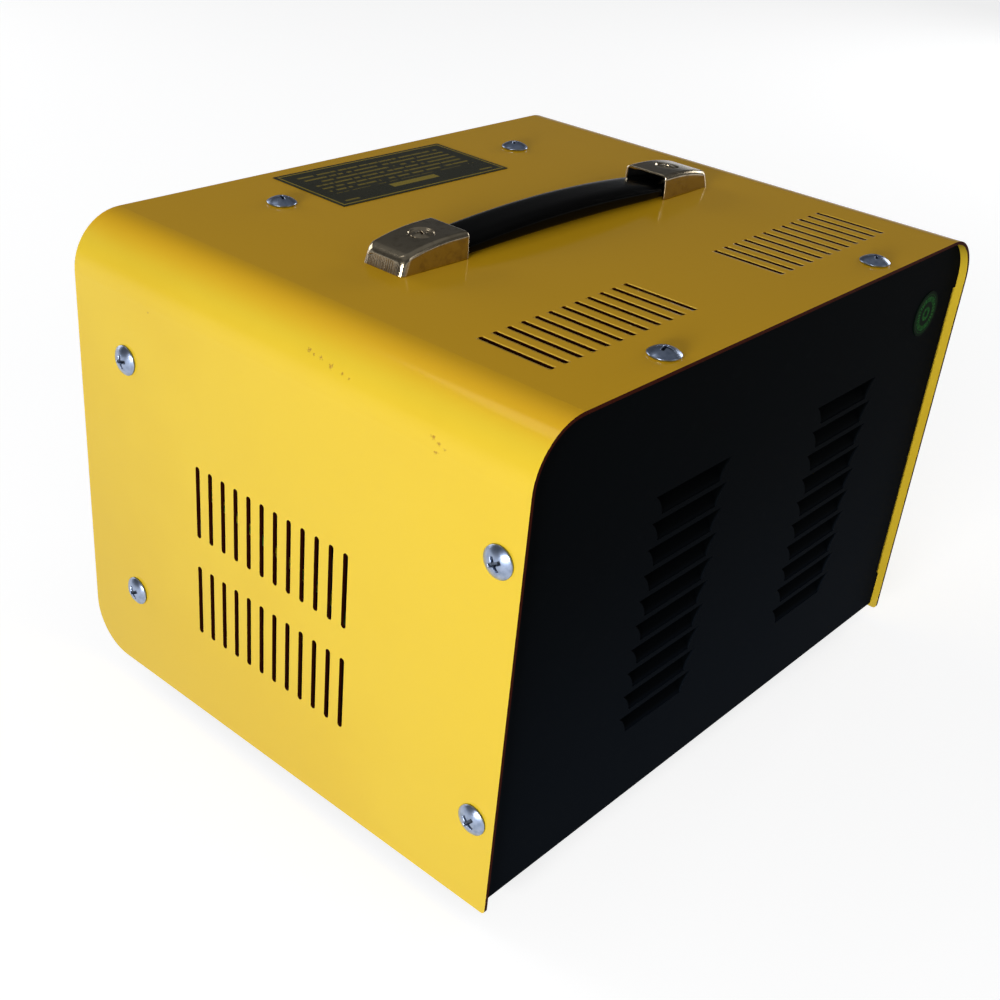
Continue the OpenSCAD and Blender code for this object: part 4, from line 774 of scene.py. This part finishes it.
# Heat sink: an extruded comb of aluminium, anodised black, with faint draw lines. Screws
# through the base hold it, and the rectifier sits flat on it.
anodised = Finish("black_anodised")
lines = anodised.noise(1.2, 3.0, 0.6, anodised.stretched(2.0, 2.0, 0.05))
dress(anodised.surface({
    "Base Color": anodised.mix(lines, tone(18, 18, 20), tone(26, 26, 28)),
    "Metallic": 0.5, "Roughness": 0.42, "Normal": anodised.bump(lines * 0.03),
}), "heat_sink")


# Leads: stranded wire in PVC, soft satin. The earth lead has its two colours in a stripe
# that runs round the wire.
def covered(name, first, second):
    """A PVC covering with a faint tint and a fine bump."""
    cover = Finish(name)
    tint = cover.noise(0.2, 2.0)
    return cover.surface({
        "Base Color": cover.mix(tint, first, second), "Roughness": 0.36 + tint * 0.1,
        "Normal": cover.bump(cover.noise(1.0) * 0.02)})


earth = Finish("green_yellow_covering")
x, y, z = earth.axes()
stripe = abs(((y * 0.24 + z * 0.2) % 1.0) - 0.5).rise(0.2, 0.26)
dress(earth.surface({
    "Base Color": earth.mix(stripe, tone(226, 220, 50), tone(46, 158, 62)),
    "Roughness": 0.3 + earth.noise(0.5) * 0.1,
}), "earth_lead")
dress(covered("brown_covering", tone(104, 62, 36), tone(92, 54, 30)),
      "fuse_lead", "switch_lead", "primary_lead")
dress(covered("blue_covering", tone(40, 78, 158), tone(34, 70, 146)), "neutral_lead")
dress(covered("black_covering", tone(26, 26, 27), tone(34, 34, 35)), "secondary_leads")
dress(covered("red_covering", tone(176, 26, 24), tone(160, 22, 20)), "meter_lead")

# Stage: a wide pale floor under a soft key lamp, low on the right, and fills from the front,
# the left, the rear and above. The floor shows near white to the camera and in reflections,
# and keeps the object's shadow. The room is pale at the horizon, dim higher, pale overhead.
white_floor = Finish("pale_floor")
ray = white_floor.node("LightPath")
seen = ray["Is Camera Ray"].most(ray["Is Glossy Ray"]).most(ray["Is Transmission Ray"])
diffuse = white_floor.node("BsdfDiffuse", {}, {"Color": (0.5, 0.5, 0.5, 1.0)})[0]
glow = white_floor.node("Emission", {}, {"Color": (1.0, 1.0, 1.0, 1.0), "Strength": 0.76})[0]
lit = white_floor.node("AddShader", {}, {0: diffuse, 1: glow})[0]
both = white_floor.node("MixShader", {}, {0: seen, 1: diffuse, 2: lit})[0]
white_floor.node("OutputMaterial", {}, {"Surface": both})
reach = 6.0
floor_mesh = bpy.data.meshes.new("floor")
floor_mesh.from_pydata(
    [(-reach, -reach, 0), (reach, -reach, 0), (reach, reach, 0), (-reach, reach, 0)],
    [], [(0, 1, 2, 3)])
floor_mesh.materials.append(white_floor.material)
floor = bpy.data.objects.new("floor", floor_mesh)
bpy.context.scene.collection.objects.link(floor)

sky = Finish("sky", world=True)
bpy.context.scene.world = sky.material
height = sky.node("SeparateXYZ", {}, {0: sky.node("TexCoord")["Generated"]})[2]
camera_ray = sky.node("LightPath")["Is Camera Ray"]
dome = 0.085 + (1.0 - height.rise(0.03, 0.13)) * 0.4 + height.rise(0.55, 0.8) * 0.12
backdrop = sky.node("Background", {}, {
    "Color": (0.93, 0.96, 1.0, 1.0), "Strength": dome + camera_ray * (0.92 - dome)})[0]
sky.node("OutputWorld", {}, {"Surface": backdrop})


def lamp(name, at, aim, wide, high, power):
    """A soft oblong lamp at a point, turned to face another."""
    data = bpy.data.lights.new(name, "AREA")
    data.shape, data.size, data.size_y, data.energy = "RECTANGLE", wide, high, power
    lamp_object = bpy.data.objects.new(name, data)
    bpy.context.scene.collection.objects.link(lamp_object)
    way = np.subtract(aim, at)
    flat = math.hypot(way[0], way[1])
    lamp_object.location = at
    lamp_object.rotation_euler = (
        math.atan2(flat, -way[2]), 0.0, math.atan2(way[1], way[0]) - math.pi / 2)


lamp("key", (1.05, 0.30, 0.31), (0.12, 0.0, 0.09), 0.4, 0.16, 8.1)
lamp("ceiling", (0.37, -0.67, 1.39), (0.0, 0.0, 0.16), 0.35, 0.35, 0.6)
lamp("front_fill", (0.22, -1.45, 0.5), (0.0, 0.0, 0.09), 0.8, 0.7, 5.0)
lamp("left_fill", (-1.5, 0.1, 0.45), (0.0, 0.0, 0.09), 0.6, 0.6, 5.0)
lamp("rear_fill", (-0.5, 1.8, 0.9), (0.0, 0.0, 0.08), 1.0, 1.0, 3.0)

# Camera: where the photograph was taken from, with its framing as a small shift.
camera_data = bpy.data.cameras.new("camera")
camera_data.sensor_width = 36.0
camera_data.lens = 50.095
camera_data.shift_x, camera_data.shift_y = 0.03646, 0.02789
camera_data.clip_start, camera_data.clip_end = 0.01, 50.0
camera = bpy.data.objects.new("camera", camera_data)
camera.location = (0.35945, 0.27277, 0.31463)
camera.rotation_euler = [math.radians(a) for a in (59.2152, -4.2741, 132.3628)]
bpy.context.scene.collection.objects.link(camera)
bpy.context.scene.camera = camera
bpy.context.scene.view_settings.view_transform = "Standard"
